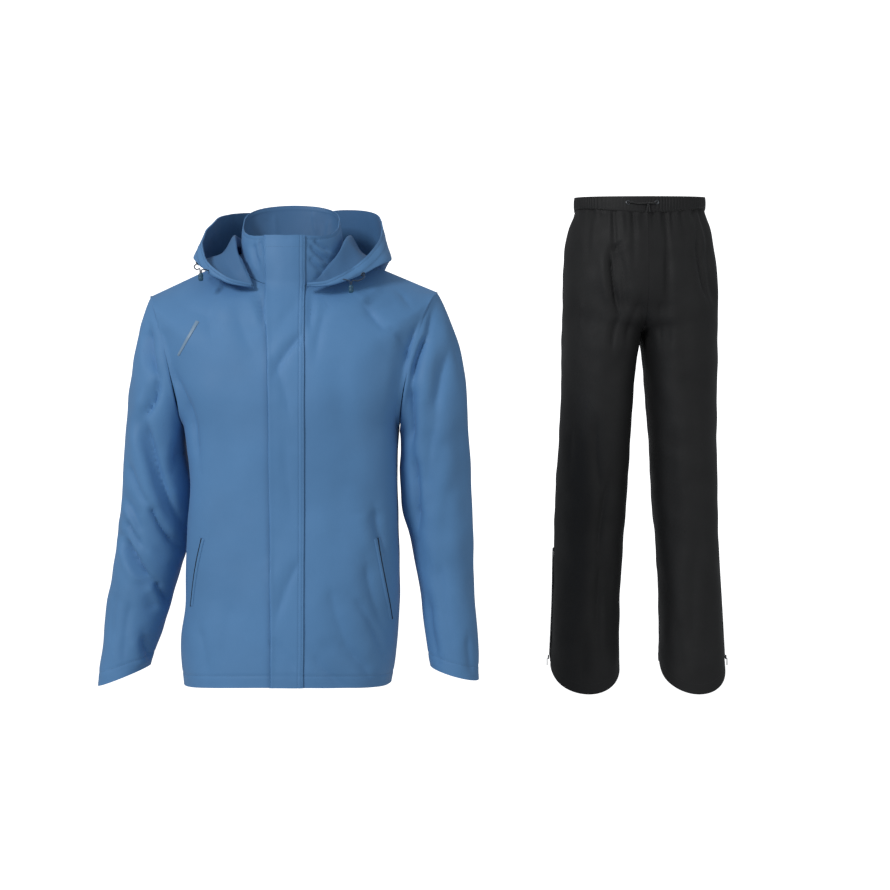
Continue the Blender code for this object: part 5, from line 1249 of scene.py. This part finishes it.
def band_grid():
    """Rings up the band, with ribs whose spacing and height drift, pinched along two rows of stitches."""
    line, at = band_line(1000)
    front = np.clip(0.5 - (line[:, 1] - TROUSERS_AT[1]) / 0.2, 0, 1)
    top = 0.229 - 0.029 * front**1.2
    up = spaced((0, 1, 22))[::-1, None]
    points = np.repeat(line[None], len(up), axis=0)
    points[..., 2] = line[:, 2] * (1 - up) + top * up + 0.0006 * (1 - up)
    axis = points.mean(axis=1, keepdims=True)
    normals = facing(points, axis, closed=True)
    drift = 1.1 * np.sin(at * 41) + 0.9 * np.sin(at * 97 + 1.3) + 0.5 * np.sin(at * 173 + 0.4)
    ribs = np.sin(at * 2 * math.pi / 0.0068 + drift * 1.6)
    strength = 0.55 + 0.25 * np.sin(at * 23 + 0.7) + 0.2 * np.sin(at * 61)
    middle = np.clip(np.abs(line[:, 0] - TROUSERS_AT[0] + 0.02) / 0.05, 0.25, 1)
    pinch = 1 - 0.75 * sum(np.exp(-((up - row) / 0.06)**2) for row in (0.10, 0.90))
    puff = 0.0010 * np.sin(math.pi * up)**0.7
    lifted = points + normals * (0.0014 + puff + 0.00075 * ribs * strength * middle * pinch)[..., None]
    return lifted, facing(lifted, axis, closed=True)


band = band_grid()
waistband = dress(shell("waistband", band[0], band[0] - band[1] * 0.0022, closed=True), "trousers_waistband", *BLACK)


# %% [markdown]
# ## Hood
# The hood lies thrown back: it leaves the neck seam, rises to a crest, drops into a trough behind the neck and
# comes back over the shoulders to its rim. It is made in two halves that meet at the middle of the back. Its
# turned hem is 18 mm deep and carries two rows of stitches.
#
# %% Hood
HOOD_CLEARANCE = 0.0016


def hood_section(rows, turn, sign, columns):
    """Sections of the hood at the given turns, each from the neck seam over the crest to the rim.

    The last row's neighbour is repeated past the centre back, so that the hood runs over it smoothly.
    """
    names = ("seam", "crest", "floor", "belly", "rim")
    rows = {key: np.append(values, values[-2]) for key, values in rows.items()}
    rows["turn"][-1] = 2 * rows["turn"][-2] - rows["turn"][-1]
    out = column(rows, "turn", turn, *(n + "_o" for n in names))
    up = column(rows, "turn", turn, *(n + "_u" for n in names))
    knots = np.array([0.0, 0.16, 0.46, 0.76, 1.0])
    t = np.linspace(0, 1, columns)
    radius = np.stack([smooth(knots, row, t) for row in out])
    height = np.stack([smooth(knots, row, t) for row in up])
    angle = np.radians(turn)[:, None]
    middle_y = -0.010
    return np.stack([sign * radius * np.sin(angle), middle_y - radius * np.cos(angle), height], axis=-1)

def open_skins(grids):
    """One mesh of the jacket's outer skins, its faces outward, for the hood to rest on."""
    points, faces, start = [], [], 0
    for skin, normals in grids:
        rows, cols = skin.shape[:2]
        r, c = np.meshgrid(np.arange(rows - 1), np.arange(cols - 1), indexing="ij")
        quads = np.stack([r * cols + c, r * cols + c + 1, (r + 1) * cols + c + 1, (r + 1) * cols + c], -1).reshape(-1, 4)
        way = np.cross(skin[0:-1, 1:] - skin[:-1, :-1], skin[1:, :-1] - skin[:-1, :-1])
        quads = quads if (way * normals[:-1, :-1]).sum() > 0 else quads[:, ::-1]
        points.append(skin.reshape(-1, 3))
        faces.append(quads + start)
        start += rows * cols
    mesh = bpy.data.meshes.new("skins_for_the_hood")
    mesh.from_pydata(np.concatenate(points).tolist(), [], np.concatenate(faces).tolist())
    obj = bpy.data.objects.new("skins_for_the_hood", mesh)
    bpy.context.scene.collection.objects.link(obj)
    return obj


def rested(points, skins, clearance):
    """Moves a grid's points that lie inside the skins, or too near them, out to the clearance."""
    rows, cols = points.shape[:2]
    mesh = bpy.data.meshes.new("resting")
    mesh.from_pydata(points.reshape(-1, 3).tolist(), [], [])
    obj = bpy.data.objects.new("resting", mesh)
    bpy.context.scene.collection.objects.link(obj)
    wrap = obj.modifiers.new("rest", "SHRINKWRAP")
    wrap.target = skins
    wrap.wrap_method = "NEAREST_SURFACEPOINT"
    wrap.wrap_mode = "OUTSIDE"
    wrap.offset = clearance
    done = obj.evaluated_get(bpy.context.evaluated_depsgraph_get()).to_mesh()
    moved = np.zeros(rows * cols * 3)
    done.vertices.foreach_get("co", moved)
    bpy.data.objects.remove(obj)
    bpy.data.meshes.remove(mesh)
    return moved.reshape(rows, cols, 3)


HOOD_CREASES = table(CREASE, [
    (-0.1280, 0.020, -0.1050, -0.030, 0.0040, 0.0060, 0.0020),
    (-0.1050, 0.028, -0.0820, -0.018, 0.0030, 0.0050, 0.0016),
    (-0.0900, 0.010, -0.0600, -0.046, -0.0030, 0.0060, 0.0014),
    (0.1250, 0.022, 0.1050, -0.026, -0.0040, 0.0060, 0.0020),
    (0.1080, 0.034, 0.0880, -0.014, 0.0030, 0.0050, 0.0014),
    (0.0900, 0.006, 0.0560, -0.036, 0.0030, 0.0060, 0.0014),
])


def hood_grid(side, skins):
    """One half of the hood, from its front end round to the middle of the back."""
    rows = HOOD_LEFT if side["sign"] > 0 else HOOD_RIGHT
    points = hood_section(rows, np.linspace(rows["turn"][0], 180.0, 90), side["sign"], 72)
    for _ in range(2):
        points = rested(points, skins, HOOD_CLEARANCE)
    points[1:-1] = points[1:-1] * 0.6 + (points[2:] + points[:-2]) * 0.2
    points = rested(points, skins, HOOD_CLEARANCE)
    normals = unit(np.cross(np.gradient(points, axis=1), np.gradient(points, axis=0)))
    out = np.array([points[67, 66, 0], points[67, 66, 1] + 0.010, 0])
    normals = normals if normals[67, 66] @ out > 0 else -normals
    calm = held(points.shape, start=True, bottom=True, reach=0.10)
    lift = creased(points, normals, HOOD_CREASES, calm=calm, strength=2.6) - points
    points = points + lift + normals * (np.abs(rumpled(points, 0.05, 0.0012, 23)) * calm)[..., None]
    return points, normals


hood_skins = open_skins([*fronts.values(), back, *sleeves.values(), collar])
hoods = {side["name"]: hood_grid(side, hood_skins) for side in SIDES}
bpy.data.objects.remove(hood_skins)
for name, (points, normals) in hoods.items():
    far = from_edges(points)["end"]
    hem = 0.0010 * ease((0.0195 - far) / 0.0025)
    stitched = sum(0.0007 * np.exp(-((far - at) / 0.0012)**2) for at in (0.0045, 0.0170))
    outer = drawn_in(points + normals * (hem - stitched)[..., None], bottom=True)
    dress(shell("hood_" + name, outer, drawn_in(points - normals * 0.0013, bottom=True)),
          ["jacket_hood_" + name, "jacket_hood_hem_" + name], *BLUE)
    piece = bpy.data.objects["hood_" + name]
    edges = from_edges(points)
    wide, deep = float(edges["top"][-1].max()), float(edges["start"][:, -1].max())
    print("hood", name, "cut %.0f x %.0f mm" % (wide * 1000, deep * 1000))

# %% [markdown]
# ## Small pieces on the cloth
# Pocket welts, the reflective stripe and, in each pocket's slit, a dark strip of painted shade are strips that follow
# the fronts. Each is a grid whose middle line is a short list of places as seen from the front, and its depth is read
# from the cloth beneath.
#
# %% Strips
POCKET_RIGHT = ((-0.1405, -0.471), (-0.1482, -0.501), (-0.1542, -0.530), (-0.1588, -0.559), (-0.1627, -0.587))
POCKET_LEFT = ((0.1520, -0.471), (0.1585, -0.508), (0.1648, -0.544), (0.1709, -0.580), (0.1752, -0.612))
STRIPE = ((-0.1493, -0.107), (-0.1590, -0.127), (-0.1708, -0.147), (-0.1826, -0.165))


def on_cloth(grid, spots):
    """The cloth's point and normal at places seen from the front: a mean of the points within a few millimetres."""
    points, normals = (a[:, 2:].reshape(-1, 3) for a in grid)
    shape = spots.shape[:-1]
    spots = spots.reshape(-1, 2)
    near = ((points[None][..., [0, 2]] - spots[:, None])**2).sum(axis=-1)
    weights = np.exp(-(near - near.min(axis=1, keepdims=True)) / 0.0025**2) + 1e-30
    weights /= weights.sum(axis=1, keepdims=True)
    y = weights @ points[:, 1]
    at = np.stack([spots[:, 0], y, spots[:, 1]], axis=-1)
    return at.reshape(*shape, 3), unit(weights @ normals).reshape(*shape, 3)


def strip(name, grid, line, widths, off, thick, node, finish, slot_name, across=9):
    """A strip along a line of places: its width runs across the line, and its long edges are rounded."""
    line = np.array(line)
    at = np.linspace(0, 1, 60)
    middle = np.stack([smooth(np.linspace(0, 1, len(line)), line[:, k], at) for k in (0, 1)], axis=-1)
    step = unit(np.gradient(middle, axis=0))
    aside = np.stack([step[:, 1], -step[:, 0]], axis=-1)
    share = np.linspace(-0.5, 0.5, across)
    width = np.interp(at, (0, 1), widths)
    spots = middle[:, None] + aside[:, None] * (share[None, :] * width[:, None])[..., None]
    points, normals = on_cloth(grid, spots)
    ends = ease(np.minimum(at, 1 - at) / 0.02)[:, None]
    round_over = np.sqrt(np.clip(1 - (np.abs(share) * 2)**5, 0, 1))[None, :] * (0.3 + 0.7 * ends)
    inner = points + normals * off
    outer = inner + normals * (0.0002 + thick * round_over)[..., None]
    obj = shell(name, outer, inner)
    obj.data.materials.append(finish)
    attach(obj, SUIT)
    if node:
        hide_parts(node)
    return obj


for side in SIDES:
    line = POCKET_LEFT if side["sign"] > 0 else POCKET_RIGHT
    grid, name = fronts[side["name"]], side["name"]
    strip("pocket_welt_" + name, grid, line, (0.0105, 0.0080), 0.0002, 0.0012, "jacket_pocket_welt_" + name, *BLUE,
          across=13)
    # painted shade: a thin dark strip down the middle of each welt stands in for the shadow inside the pocket's
    # opening
    strip("painted_pocket_shade_" + name, grid, line, (0.0018, 0.0014), 0.0014, 0.0004, None, blue_shadow,
          "blue_coated_cloth")
strip("reflective_stripe", fronts["right"], STRIPE, (0.0066, 0.0042), 0.0002, 0.0008, "jacket_reflective_stripe",
      pale_tape, "pale_reflective_tape")
print("pockets and stripe ready")

# %% [markdown]
# Stitches are what make a panel read as sewn. Each is a tiny spindle, a little over two millimetres long, and the
# rows follow the hems, the flap and the hood's rim at a three millimetre pitch.
#
# %% Stitches
STITCH_LONG = 0.0022
STITCH_PITCH = 0.0031


def stitch_row(line, normals):
    """The points and faces of one row of stitches: each an eight-faced spindle laid along the line."""
    reach = np.concatenate([[0], np.cumsum(np.linalg.norm(np.diff(line, axis=0), axis=1))])
    at = np.arange(STITCH_PITCH, reach[-1] - STITCH_PITCH, STITCH_PITCH)
    place = np.stack([np.interp(at, reach, line[:, k]) for k in range(3)], axis=-1)
    ahead = np.stack([np.interp(at + 0.001, reach, line[:, k]) for k in range(3)], axis=-1)
    out = unit(np.stack([np.interp(at, reach, normals[:, k]) for k in range(3)], axis=-1))
    along = unit(ahead - place)
    aside = np.cross(along, out)
    ways = [along * STITCH_LONG / 2, aside * 0.00035, out * 0.0003]
    points = np.stack([place + w * s for w in ways for s in (1, -1)], axis=1)
    one = np.array([(0, 2, 4), (2, 1, 4), (1, 3, 4), (3, 0, 4), (2, 0, 5), (1, 2, 5), (3, 1, 5), (0, 3, 5)])
    faces = one[None] + np.arange(len(at))[:, None, None] * 6
    return points.reshape(-1, 3), faces.reshape(-1, 3)


def stitches(name, rows, finish):
    """All the rows of one colour as one piece."""
    points, faces, start = [], [], 0
    for line, normals in rows:
        p, f = stitch_row(line, normals)
        points.append(p)
        faces.append(f + start)
        start += len(p)
    mesh = bpy.data.meshes.new(name)
    mesh.from_pydata(np.concatenate(points).tolist(), [], np.concatenate(faces).tolist())
    mesh.materials.append(finish)
    obj = bpy.data.objects.new(name, mesh)
    bpy.context.scene.collection.objects.link(obj)
    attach(obj, SUIT)
    print(name, len(faces), "rows,", start // 6, "stitches")
    return obj


def round_row(grid, edge, distance):
    """A row of stitches round a tube, closed by its own first point."""
    points, normals = line_at(grid, edge, distance)
    return np.concatenate([points, points[:1]]), np.concatenate([normals, normals[:1]])


flap_face = (flap_outer, flap_normals)
rows = [line_at(flap_face, "end", d) for d in (0.0025, 0.0085)] + [line_at(flap_face, "bottom", HEM_AT)]
rows += [line_at(g, "bottom", HEM_AT) for g in (*fronts.values(), back)]
rows += [round_row(g, "bottom", 0.024) for g in sleeves.values()]
rows += [line_at((p + n * 0.0010, n), "end", d) for p, n in hoods.values() for d in (0.0045, 0.0170)]
rows += [line_at(collar, "bottom", 0.006)]
stitches("jacket_stitches", rows, blue_thread)
rows = [line_at(g, "bottom", 0.021) for g in legs.values()]
rows += [round_row(band, edge, 0.003) for edge in ("top", "bottom")]
stitches("trousers_stitches", rows, black_thread)

# %% [markdown]
# ## Zips, eyelets and cords
# A moulded zip's teeth are small blocks at an even pitch along both edges of the tape, set half a pitch apart, so
# that they lock together. The teeth here are drawn 2.4 mm apart, which is a number five zip.
#
# %% Zip teeth

def teeth(name, line, out, size, pitch, finish):
    """Blocks on a line, every other one to the other side; the whole row is one mesh."""
    reach = np.concatenate([[0], np.cumsum(np.linalg.norm(np.diff(line, axis=0), axis=1))])
    at = np.arange(pitch, reach[-1] - pitch, pitch / 2)
    place = np.stack([np.interp(at, reach, line[:, k]) for k in range(3)], axis=-1)
    ahead = np.stack([np.interp(at + 0.002, reach, line[:, k]) for k in range(3)], axis=-1)
    out = unit(np.stack([np.interp(at, reach, out[:, k]) for k in range(3)], axis=-1))
    along = unit(ahead - place)
    aside = unit(np.cross(along, out))
    side = np.where(np.arange(len(at)) % 2 == 0, 1.0, -1.0)[:, None]
    place = place + aside * side * size[0] * 0.3
    ways = (aside * size[0] / 2, out * size[1] / 2, along * size[2] / 2)
    signs = [(x, y, z) for x in (-1, 1) for y in (-1, 1) for z in (-1, 1)]
    points = np.stack([place + ways[0] * x * (0.8 if y > 0 else 1) + ways[1] * y + ways[2] * z * (0.8 if y > 0 else 1)
                       for x, y, z in signs], axis=1)
    one = np.array([(0, 1, 3, 2), (4, 6, 7, 5), (0, 4, 5, 1), (2, 3, 7, 6), (0, 2, 6, 4), (1, 5, 7, 3)])
    faces = (one[None] + np.arange(len(at))[:, None, None] * 8).reshape(-1, 4)
    mesh = bpy.data.meshes.new(name)
    mesh.from_pydata(points.reshape(-1, 3).tolist(), [], faces.tolist())
    mesh.materials.append(finish)
    bm = bmesh.new()
    bm.from_mesh(mesh)
    bmesh.ops.recalc_face_normals(bm, faces=bm.faces)
    bm.to_mesh(mesh)
    bm.free()
    obj = bpy.data.objects.new(name, mesh)
    bpy.context.scene.collection.objects.link(obj)
    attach(obj, SUIT)
    return obj


low = (fronts["right"][0][::-1, 0] + fronts["left"][0][::-1, 0]) / 2
high = (collar[0][1:, 0] + collar[0][1:, -1]) / 2
front_line = np.concatenate([low, high])
front_out = np.repeat([[0.0, -1.0, 0.0]], len(front_line), axis=0)
half = np.array([ZIP_HALF_GAP - 2 * SEAM_GAP, 0, 0])
tape_points = np.stack([front_line + half * s for s in np.linspace(-1, 1, 5)], axis=1)
deep = np.array([0, 0.0012, 0])
chain = teeth("front_zip_teeth", front_line, front_out, (0.0030, 0.0010, 0.0011), 0.0026, blue_zip_teeth)
tape = dress(shell("front_zip_tape", tape_points + deep * 0.3, tape_points + deep), "jacket_front_zip", zip_tape,
             "dark_blue_zip_chain")
ankle_level = spaced((1.68, 1.985, 60))
for side in SIDES:
    front = half_legs(side, -1, ankle_level, np.linspace(0, 1, 101))
    rear = half_legs(side, 1, ankle_level, np.linspace(0, 1, 101))
    out = facing(front, leg_axis(front))[:, -1]
    line = front[:, -1] + out * 0.0007
    forward, backward = unit(front[:, -6] - front[:, -1]), unit(rear[:, -6] - rear[:, -1])
    tape_points = np.stack([line + forward * 0.0065, line + forward * 0.0033, line, line + backward * 0.0033,
                            line + backward * 0.0065], axis=1)
    outward = np.repeat(out[:, None], 5, axis=1)
    name = side["name"]
    dress(shell("ankle_zip_tape_" + name, tape_points + outward * 0.0010, tape_points), "trousers_ankle_zip_" + name,
          zip_tape, "black_zip_tape")
    teeth("ankle_zip_teeth_" + name, line + out * 0.0014, out, (0.0032, 0.0012, 0.0011), 0.0026, zip_teeth)
print("zips ready")

# %% [markdown]
# An eyelet is a rolled ring: a circle swept round its hole. A stopper is a short barrel, and a knot is the cord's
# own line laid in three lobes. Each is a profile turned round an axis, or a tube drawn along a line.
#
# %% Eyelets, stoppers, cords

def turned(name, centre, axis, profile, squash=(1.0, 1.0), steps=48, ring=False):
    """Turns a profile of (radius, height) round an axis: x and y are the radius times cosine and sine."""
    axis = unit(np.array(axis, float))
    aside = unit(np.cross(axis, [0.0, 0.0, 1.0] if abs(axis[2]) < 0.9 else [0.0, 1.0, 0.0]))
    above = np.cross(aside, axis)
    angle = np.linspace(0, 2 * math.pi, steps, endpoint=False)[None, :, None]
    r, h = (np.array(profile)[:, k][:, None, None] for k in (0, 1))
    points = np.array(centre) + r * (np.cos(angle) * aside * squash[0] + np.sin(angle) * above * squash[1]) + h * axis
    count = len(profile)
    row, col = np.meshgrid(np.arange(count if ring else count - 1), np.arange(steps), indexing="ij")
    after, beside = (row + 1) % count, (col + 1) % steps
    quads = np.stack([row * steps + col, row * steps + beside, after * steps + beside, after * steps + col], -1)
    faces = quads.reshape(-1, 4).tolist()
    if not ring:
        faces += [list(range(steps))[::-1], list(range((count - 1) * steps, count * steps))]
    mesh = bpy.data.meshes.new(name)
    mesh.from_pydata(points.reshape(-1, 3).tolist(), [], faces)
    bm = bmesh.new()
    bm.from_mesh(mesh)
    bmesh.ops.recalc_face_normals(bm, faces=bm.faces)
    bm.to_mesh(mesh)
    bm.free()
    mesh.shade_smooth()
    obj = bpy.data.objects.new(name, mesh)
    bpy.context.scene.collection.objects.link(obj)
    return obj


def eyelet(name, centre, axis, outer_r, inner_r, node):
    """A rolled metal eyelet: a flattened circle swept round the hole."""
    turn = np.linspace(0, 2 * math.pi, 16, endpoint=False)
    wide, tall = (outer_r - inner_r) / 2, 0.0007
    profile = np.stack([(outer_r + inner_r) / 2 + wide * np.cos(turn), 0.0006 + tall * np.sin(turn)], axis=-1)
    return dress(turned(name, centre, axis, profile, ring=True), node, dark_metal, "dull_metal")


def stopper(name, top, radius, long, node):
    """A barrel stopper with rounded ends and a groove round its middle."""
    h = np.linspace(0, 1, 30)
    r = np.clip(1 - np.abs(2 * h - 1)**5 * 0.45, 0, 1) - 0.10 * np.exp(-((h - 0.5) / 0.07)**2)
    profile = np.stack([radius * r, -long * h], axis=-1)
    return dress(turned(name, top, (0, 0, 1), profile, squash=(1.0, 0.8)), node, blue_plastic, "dark_plastic")


def tube(name, route, diameter, nodes, finish, slot_name, steps=90):
    """A round cord along a smooth line through its route: circles square to the line, closed at both ends."""
    route = np.array(route, float)
    reach = np.concatenate([[0], np.cumsum(np.linalg.norm(np.diff(route, axis=0), axis=1))])
    at = np.linspace(0, reach[-1], steps)
    line = np.stack([smooth(reach, route[:, k], at) for k in range(3)], axis=-1)
    along = unit(np.gradient(line, axis=0))
    aside = unit(np.cross(along, np.array([0.31, 0.22, 0.93])))
    above = np.cross(along, aside)
    turn = np.linspace(0, 2 * math.pi, 14, endpoint=False)[None, :, None]
    radius = diameter / 2 * np.ones(steps)
    radius[[0, -1]] *= 0.7
    ring = (np.cos(turn) * aside[:, None] + np.sin(turn) * above[:, None]) * radius[:, None, None]
    points = (line[:, None] + ring).reshape(-1, 3)
    row, col = np.meshgrid(np.arange(steps - 1), np.arange(14), indexing="ij")
    beside = (col + 1) % 14
    quads = np.stack([row * 14 + col, row * 14 + beside, (row + 1) * 14 + beside, (row + 1) * 14 + col], -1)
    faces = quads.reshape(-1, 4).tolist() + [list(range(14))[::-1], list(range((steps - 1) * 14, steps * 14))]
    mesh = bpy.data.meshes.new(name)
    mesh.from_pydata(points.tolist(), [], faces)
    bm = bmesh.new()
    bm.from_mesh(mesh)
    bmesh.ops.recalc_face_normals(bm, faces=bm.faces)
    bm.to_mesh(mesh)
    bm.free()
    mesh.shade_smooth()
    obj = bpy.data.objects.new(name, mesh)
    bpy.context.scene.collection.objects.link(obj)
    return dress(obj, nodes, finish, slot_name), line


HOOD_CORDS = {
    "left": ((0.1275, -0.0794, -0.0271), (0.1301, -0.0815, -0.0294), (0.1218, -0.0957, -0.0402),
             (0.1110, -0.1079, -0.0437), (0.1108, -0.1079, -0.0487), (0.1097, -0.1079, -0.0560),
             (0.1086, -0.1079, -0.0487), (0.1084, -0.1079, -0.0437), (0.1012, -0.1049, -0.0398),
             (0.0953, -0.0969, -0.0380)),
    "right": ((-0.1560, -0.0584, -0.0060), (-0.1590, -0.0590, -0.0085), (-0.1528, -0.0779, -0.0193),
              (-0.1436, -0.0962, -0.0225), (-0.1434, -0.0962, -0.0275), (-0.1423, -0.0962, -0.0350),
              (-0.1412, -0.0962, -0.0275), (-0.1410, -0.0962, -0.0225), (-0.1357, -0.0931, -0.0215),
              (-0.1313, -0.0852, -0.0221)),
}
eyelet("hood_eyelet_left", (0.1274, -0.0792, -0.0270), (0.63, -0.517, -0.579), 0.0042, 0.0020,
       "jacket_hood_eyelet_left")
eyelet("hood_eyelet_right", (-0.1557, -0.0583, -0.0058), (-0.759, -0.161, -0.63), 0.0042, 0.0020,
       "jacket_hood_eyelet_right")
for name, top in (("left", (0.1097, -0.1079, -0.0490)), ("right", (-0.1423, -0.0962, -0.0278))):
    stop = stopper("hood_stopper_" + name, top, 0.0042, 0.0130, "jacket_hood_stopper_" + name)
    piece, line = tube("hood_cord_" + name, HOOD_CORDS[name], 0.0021,
                       ["jacket_hood_cord_" + name, "jacket_hood_cord_end_" + name], blue_cord, "dark_blue_cord")

WAIST_CORDS = {
    "left": ((0.7040, 0.3929, 0.1870), (0.7020, 0.3897, 0.1870), (0.6976, 0.3891, 0.1843), (0.6911, 0.3876, 0.1845),
             (0.6850, 0.3862, 0.1838), (0.6868, 0.3876, 0.1792), (0.6877, 0.3876, 0.1732), (0.6887, 0.3876, 0.1662)),
    "right": ((0.6450, 0.3956, 0.1870), (0.6470, 0.3924, 0.1870), (0.6624, 0.3904, 0.1843), (0.6799, 0.3876, 0.1840),
              (0.6862, 0.3880, 0.1846), (0.6841, 0.3876, 0.1792), (0.6833, 0.3876, 0.1732), (0.6823, 0.3876, 0.1662)),
}
turn = np.linspace(0.25, 6.0, 60)
lobes = np.stack([np.sin(turn) + 1.1 * np.sin(2 * turn), -0.75 * np.sin(3 * turn),
                  np.cos(turn) - 1.1 * np.cos(2 * turn)], axis=-1)
knot, _ = tube("waist_knot", np.array([0.6855, 0.3876, 0.1835]) + lobes * 0.00165, 0.0024, ["trousers_drawcord_knot"],
               black_cord, "dark_blue_cord", steps=150)
for name, x, y in (("left", 0.7040, 0.3932), ("right", 0.6450, 0.3959)):
    eyelet("waist_eyelet_" + name, (x, y, 0.1870), (0, -1, 0), 0.0048, 0.0022, "trousers_eyelet_" + name)
    piece, line = tube("waist_cord_" + name, WAIST_CORDS[name], 0.0026,
                       ["trousers_drawcord_" + name, "trousers_drawcord_tail_" + name], black_cord, "dark_blue_cord")
print("cords ready")

# %% [markdown]
# The ankle sliders are cast, with a bridge that holds the pull tab's pin. The tab is a thin plate with a round foot;
# its slot is left out. Both keep the imported solids' places, and the tab rides on its own body.
#
# %% Sliders and pull tabs

def plate(name, outline, low, high, bevel, centre, finish, slot_name, body, node):
    """A flat piece: its outline in (y, z), its thickness along x from low to high, its edges rounded."""
    outline = np.array(outline)
    count = len(outline)
    points = [(x, y, z) for x in (low, high) for y, z in outline]
    faces = [tuple(range(count)), tuple(range(count, 2 * count))[::-1]]
    faces += [(k, k + count, (k + 1) % count + count, (k + 1) % count) for k in range(count)]
    mesh = bpy.data.meshes.new(name)
    mesh.from_pydata((np.array(points) + centre).tolist(), [], faces)
    bm = bmesh.new()
    bm.from_mesh(mesh)
    bmesh.ops.recalc_face_normals(bm, faces=bm.faces)
    bmesh.ops.bevel(bm, geom=[e for e in bm.edges if e.calc_face_angle(0) > 0.9], offset=bevel, segments=3,
                    affect="EDGES", profile=0.6)
    bm.to_mesh(mesh)
    bm.free()
    mesh.shade_smooth()
    mesh.set_sharp_from_angle(angle=math.radians(40))
    obj = bpy.data.objects.new(name, mesh)
    bpy.context.scene.collection.objects.link(obj)
    return dress(obj, node, finish, slot_name, body)


for side in SIDES:
    name, s = side["name"], side["sign"]
    slider, tab = (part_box("trousers_" + part + "_" + name) for part in ("slider", "pull_tab"))
    (x0, y0, z0), (x1, y1, z1) = slider
    mid_y = (y0 + y1) / 2
    turn = np.linspace(0, math.pi, 9)
    crown = [((y1 - y0) / 2 * math.cos(a), z1 - 0.003 + 0.003 * math.sin(a)) for a in turn]
    body_line = [(-0.0018, z0), (0.0018, z0), (0.0026, z0 + 0.0025)] + crown + [(-0.0026, z0 + 0.0025)]
    plate("ankle_slider_" + name, body_line, x0, x1, 0.0005, (0, mid_y, 0), dark_metal, "dull_metal", SUIT,
          "trousers_slider_" + name)
    (x0, y0, z0), (x1, y1, z1) = tab
    mid_y, half_wide = (y0 + y1) / 2, (y1 - y0) / 2
    foot = [(half_wide * math.cos(a), z0 + half_wide - half_wide * math.sin(a)) for a in turn]
    line = foot[::1] + [(-half_wide * 0.7, z1 - 0.002), (-half_wide * 0.5, z1), (half_wide * 0.5, z1),
                        (half_wide * 0.7, z1 - 0.002)]
    plate("ankle_pull_tab_" + name, line, x0, x1, 0.0003, (0, mid_y, 0), dark_metal, "dull_metal",
          "ankle_tab_" + name, "trousers_pull_tab_" + name)
print("sliders and tabs ready")


# %% [markdown]
# ## Room and light
# A pale floor and a pale wall stand for the photographer's paper, which is lit apart from the garments, so it
# throws no light on them. One large soft lamp shines from high on the left, and a weaker one fills from the right. The soft light leaves the flank under
# the right arm dark.
#
# %% Stage
STUDIO = {"wall_y": 3.2, "floor_z": -1.02, "key": 113.0, "fill": 12.0, "room": 0.34}


def paper(name, corners, glow):
    """A flat sheet of pale background paper that also glows a little, as lit paper does."""
    mat, tree, shader = new_material(name, Base_Color=(0.9, 0.9, 0.9, 1), Roughness=0.9,
                                     Emission_Color=(1, 1, 1, 1), Emission_Strength=glow)
    mesh = bpy.data.meshes.new(name)
    mesh.from_pydata(corners, [], [(0, 1, 2, 3)])
    mesh.materials.append(mat)
    obj = bpy.data.objects.new(name, mesh)
    bpy.context.scene.collection.objects.link(obj)
    obj.visible_diffuse = False
    obj.visible_glossy = False
    obj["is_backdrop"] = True
    return obj


def soft_lamp(name, place, aim, size, watts):
    """A large square lamp that points at a place."""
    data = bpy.data.lights.new(name, "AREA")
    data.size = size
    data.energy = watts
    lamp = bpy.data.objects.new(name, data)
    lamp.location = place
    way = Vector(aim) - Vector(place)
    lamp.rotation_euler = way.to_track_quat("-Z", "Y").to_euler()
    bpy.context.scene.collection.objects.link(lamp)
    return lamp


wall_y, floor_z = STUDIO["wall_y"], STUDIO["floor_z"]
paper("floor", [(-7, -7, floor_z), (7, -7, floor_z), (7, wall_y, floor_z), (-7, wall_y, floor_z)], 0.85)
paper("back_wall", [(-7, wall_y, floor_z), (7, wall_y, floor_z), (7, wall_y, 5), (-7, wall_y, 5)], 0.9)
soft_lamp("key", (-2.7, -3.7, 1.9), (0.2, 0.1, -0.4), 1.2, STUDIO["key"])
soft_lamp("fill", (2.6, -2.4, 0.4), (0.4, 0.2, -0.4), 1.6, STUDIO["fill"])
world = bpy.data.worlds.new("room")
bpy.context.scene.world = world
world.use_nodes = True
world.node_tree.nodes["Background"].inputs["Color"].default_value = (0.94, 0.97, 1, 1)
world.node_tree.nodes["Background"].inputs["Strength"].default_value = STUDIO["room"]
bpy.context.scene.view_settings.view_transform = "Standard"
print("studio ready")

# %% [markdown]
# The last lines print the dressed size.
#
# %% Finish
low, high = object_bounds()
print("dressed size:", [round(float(b - a), 4) for a, b in zip(low, high)])
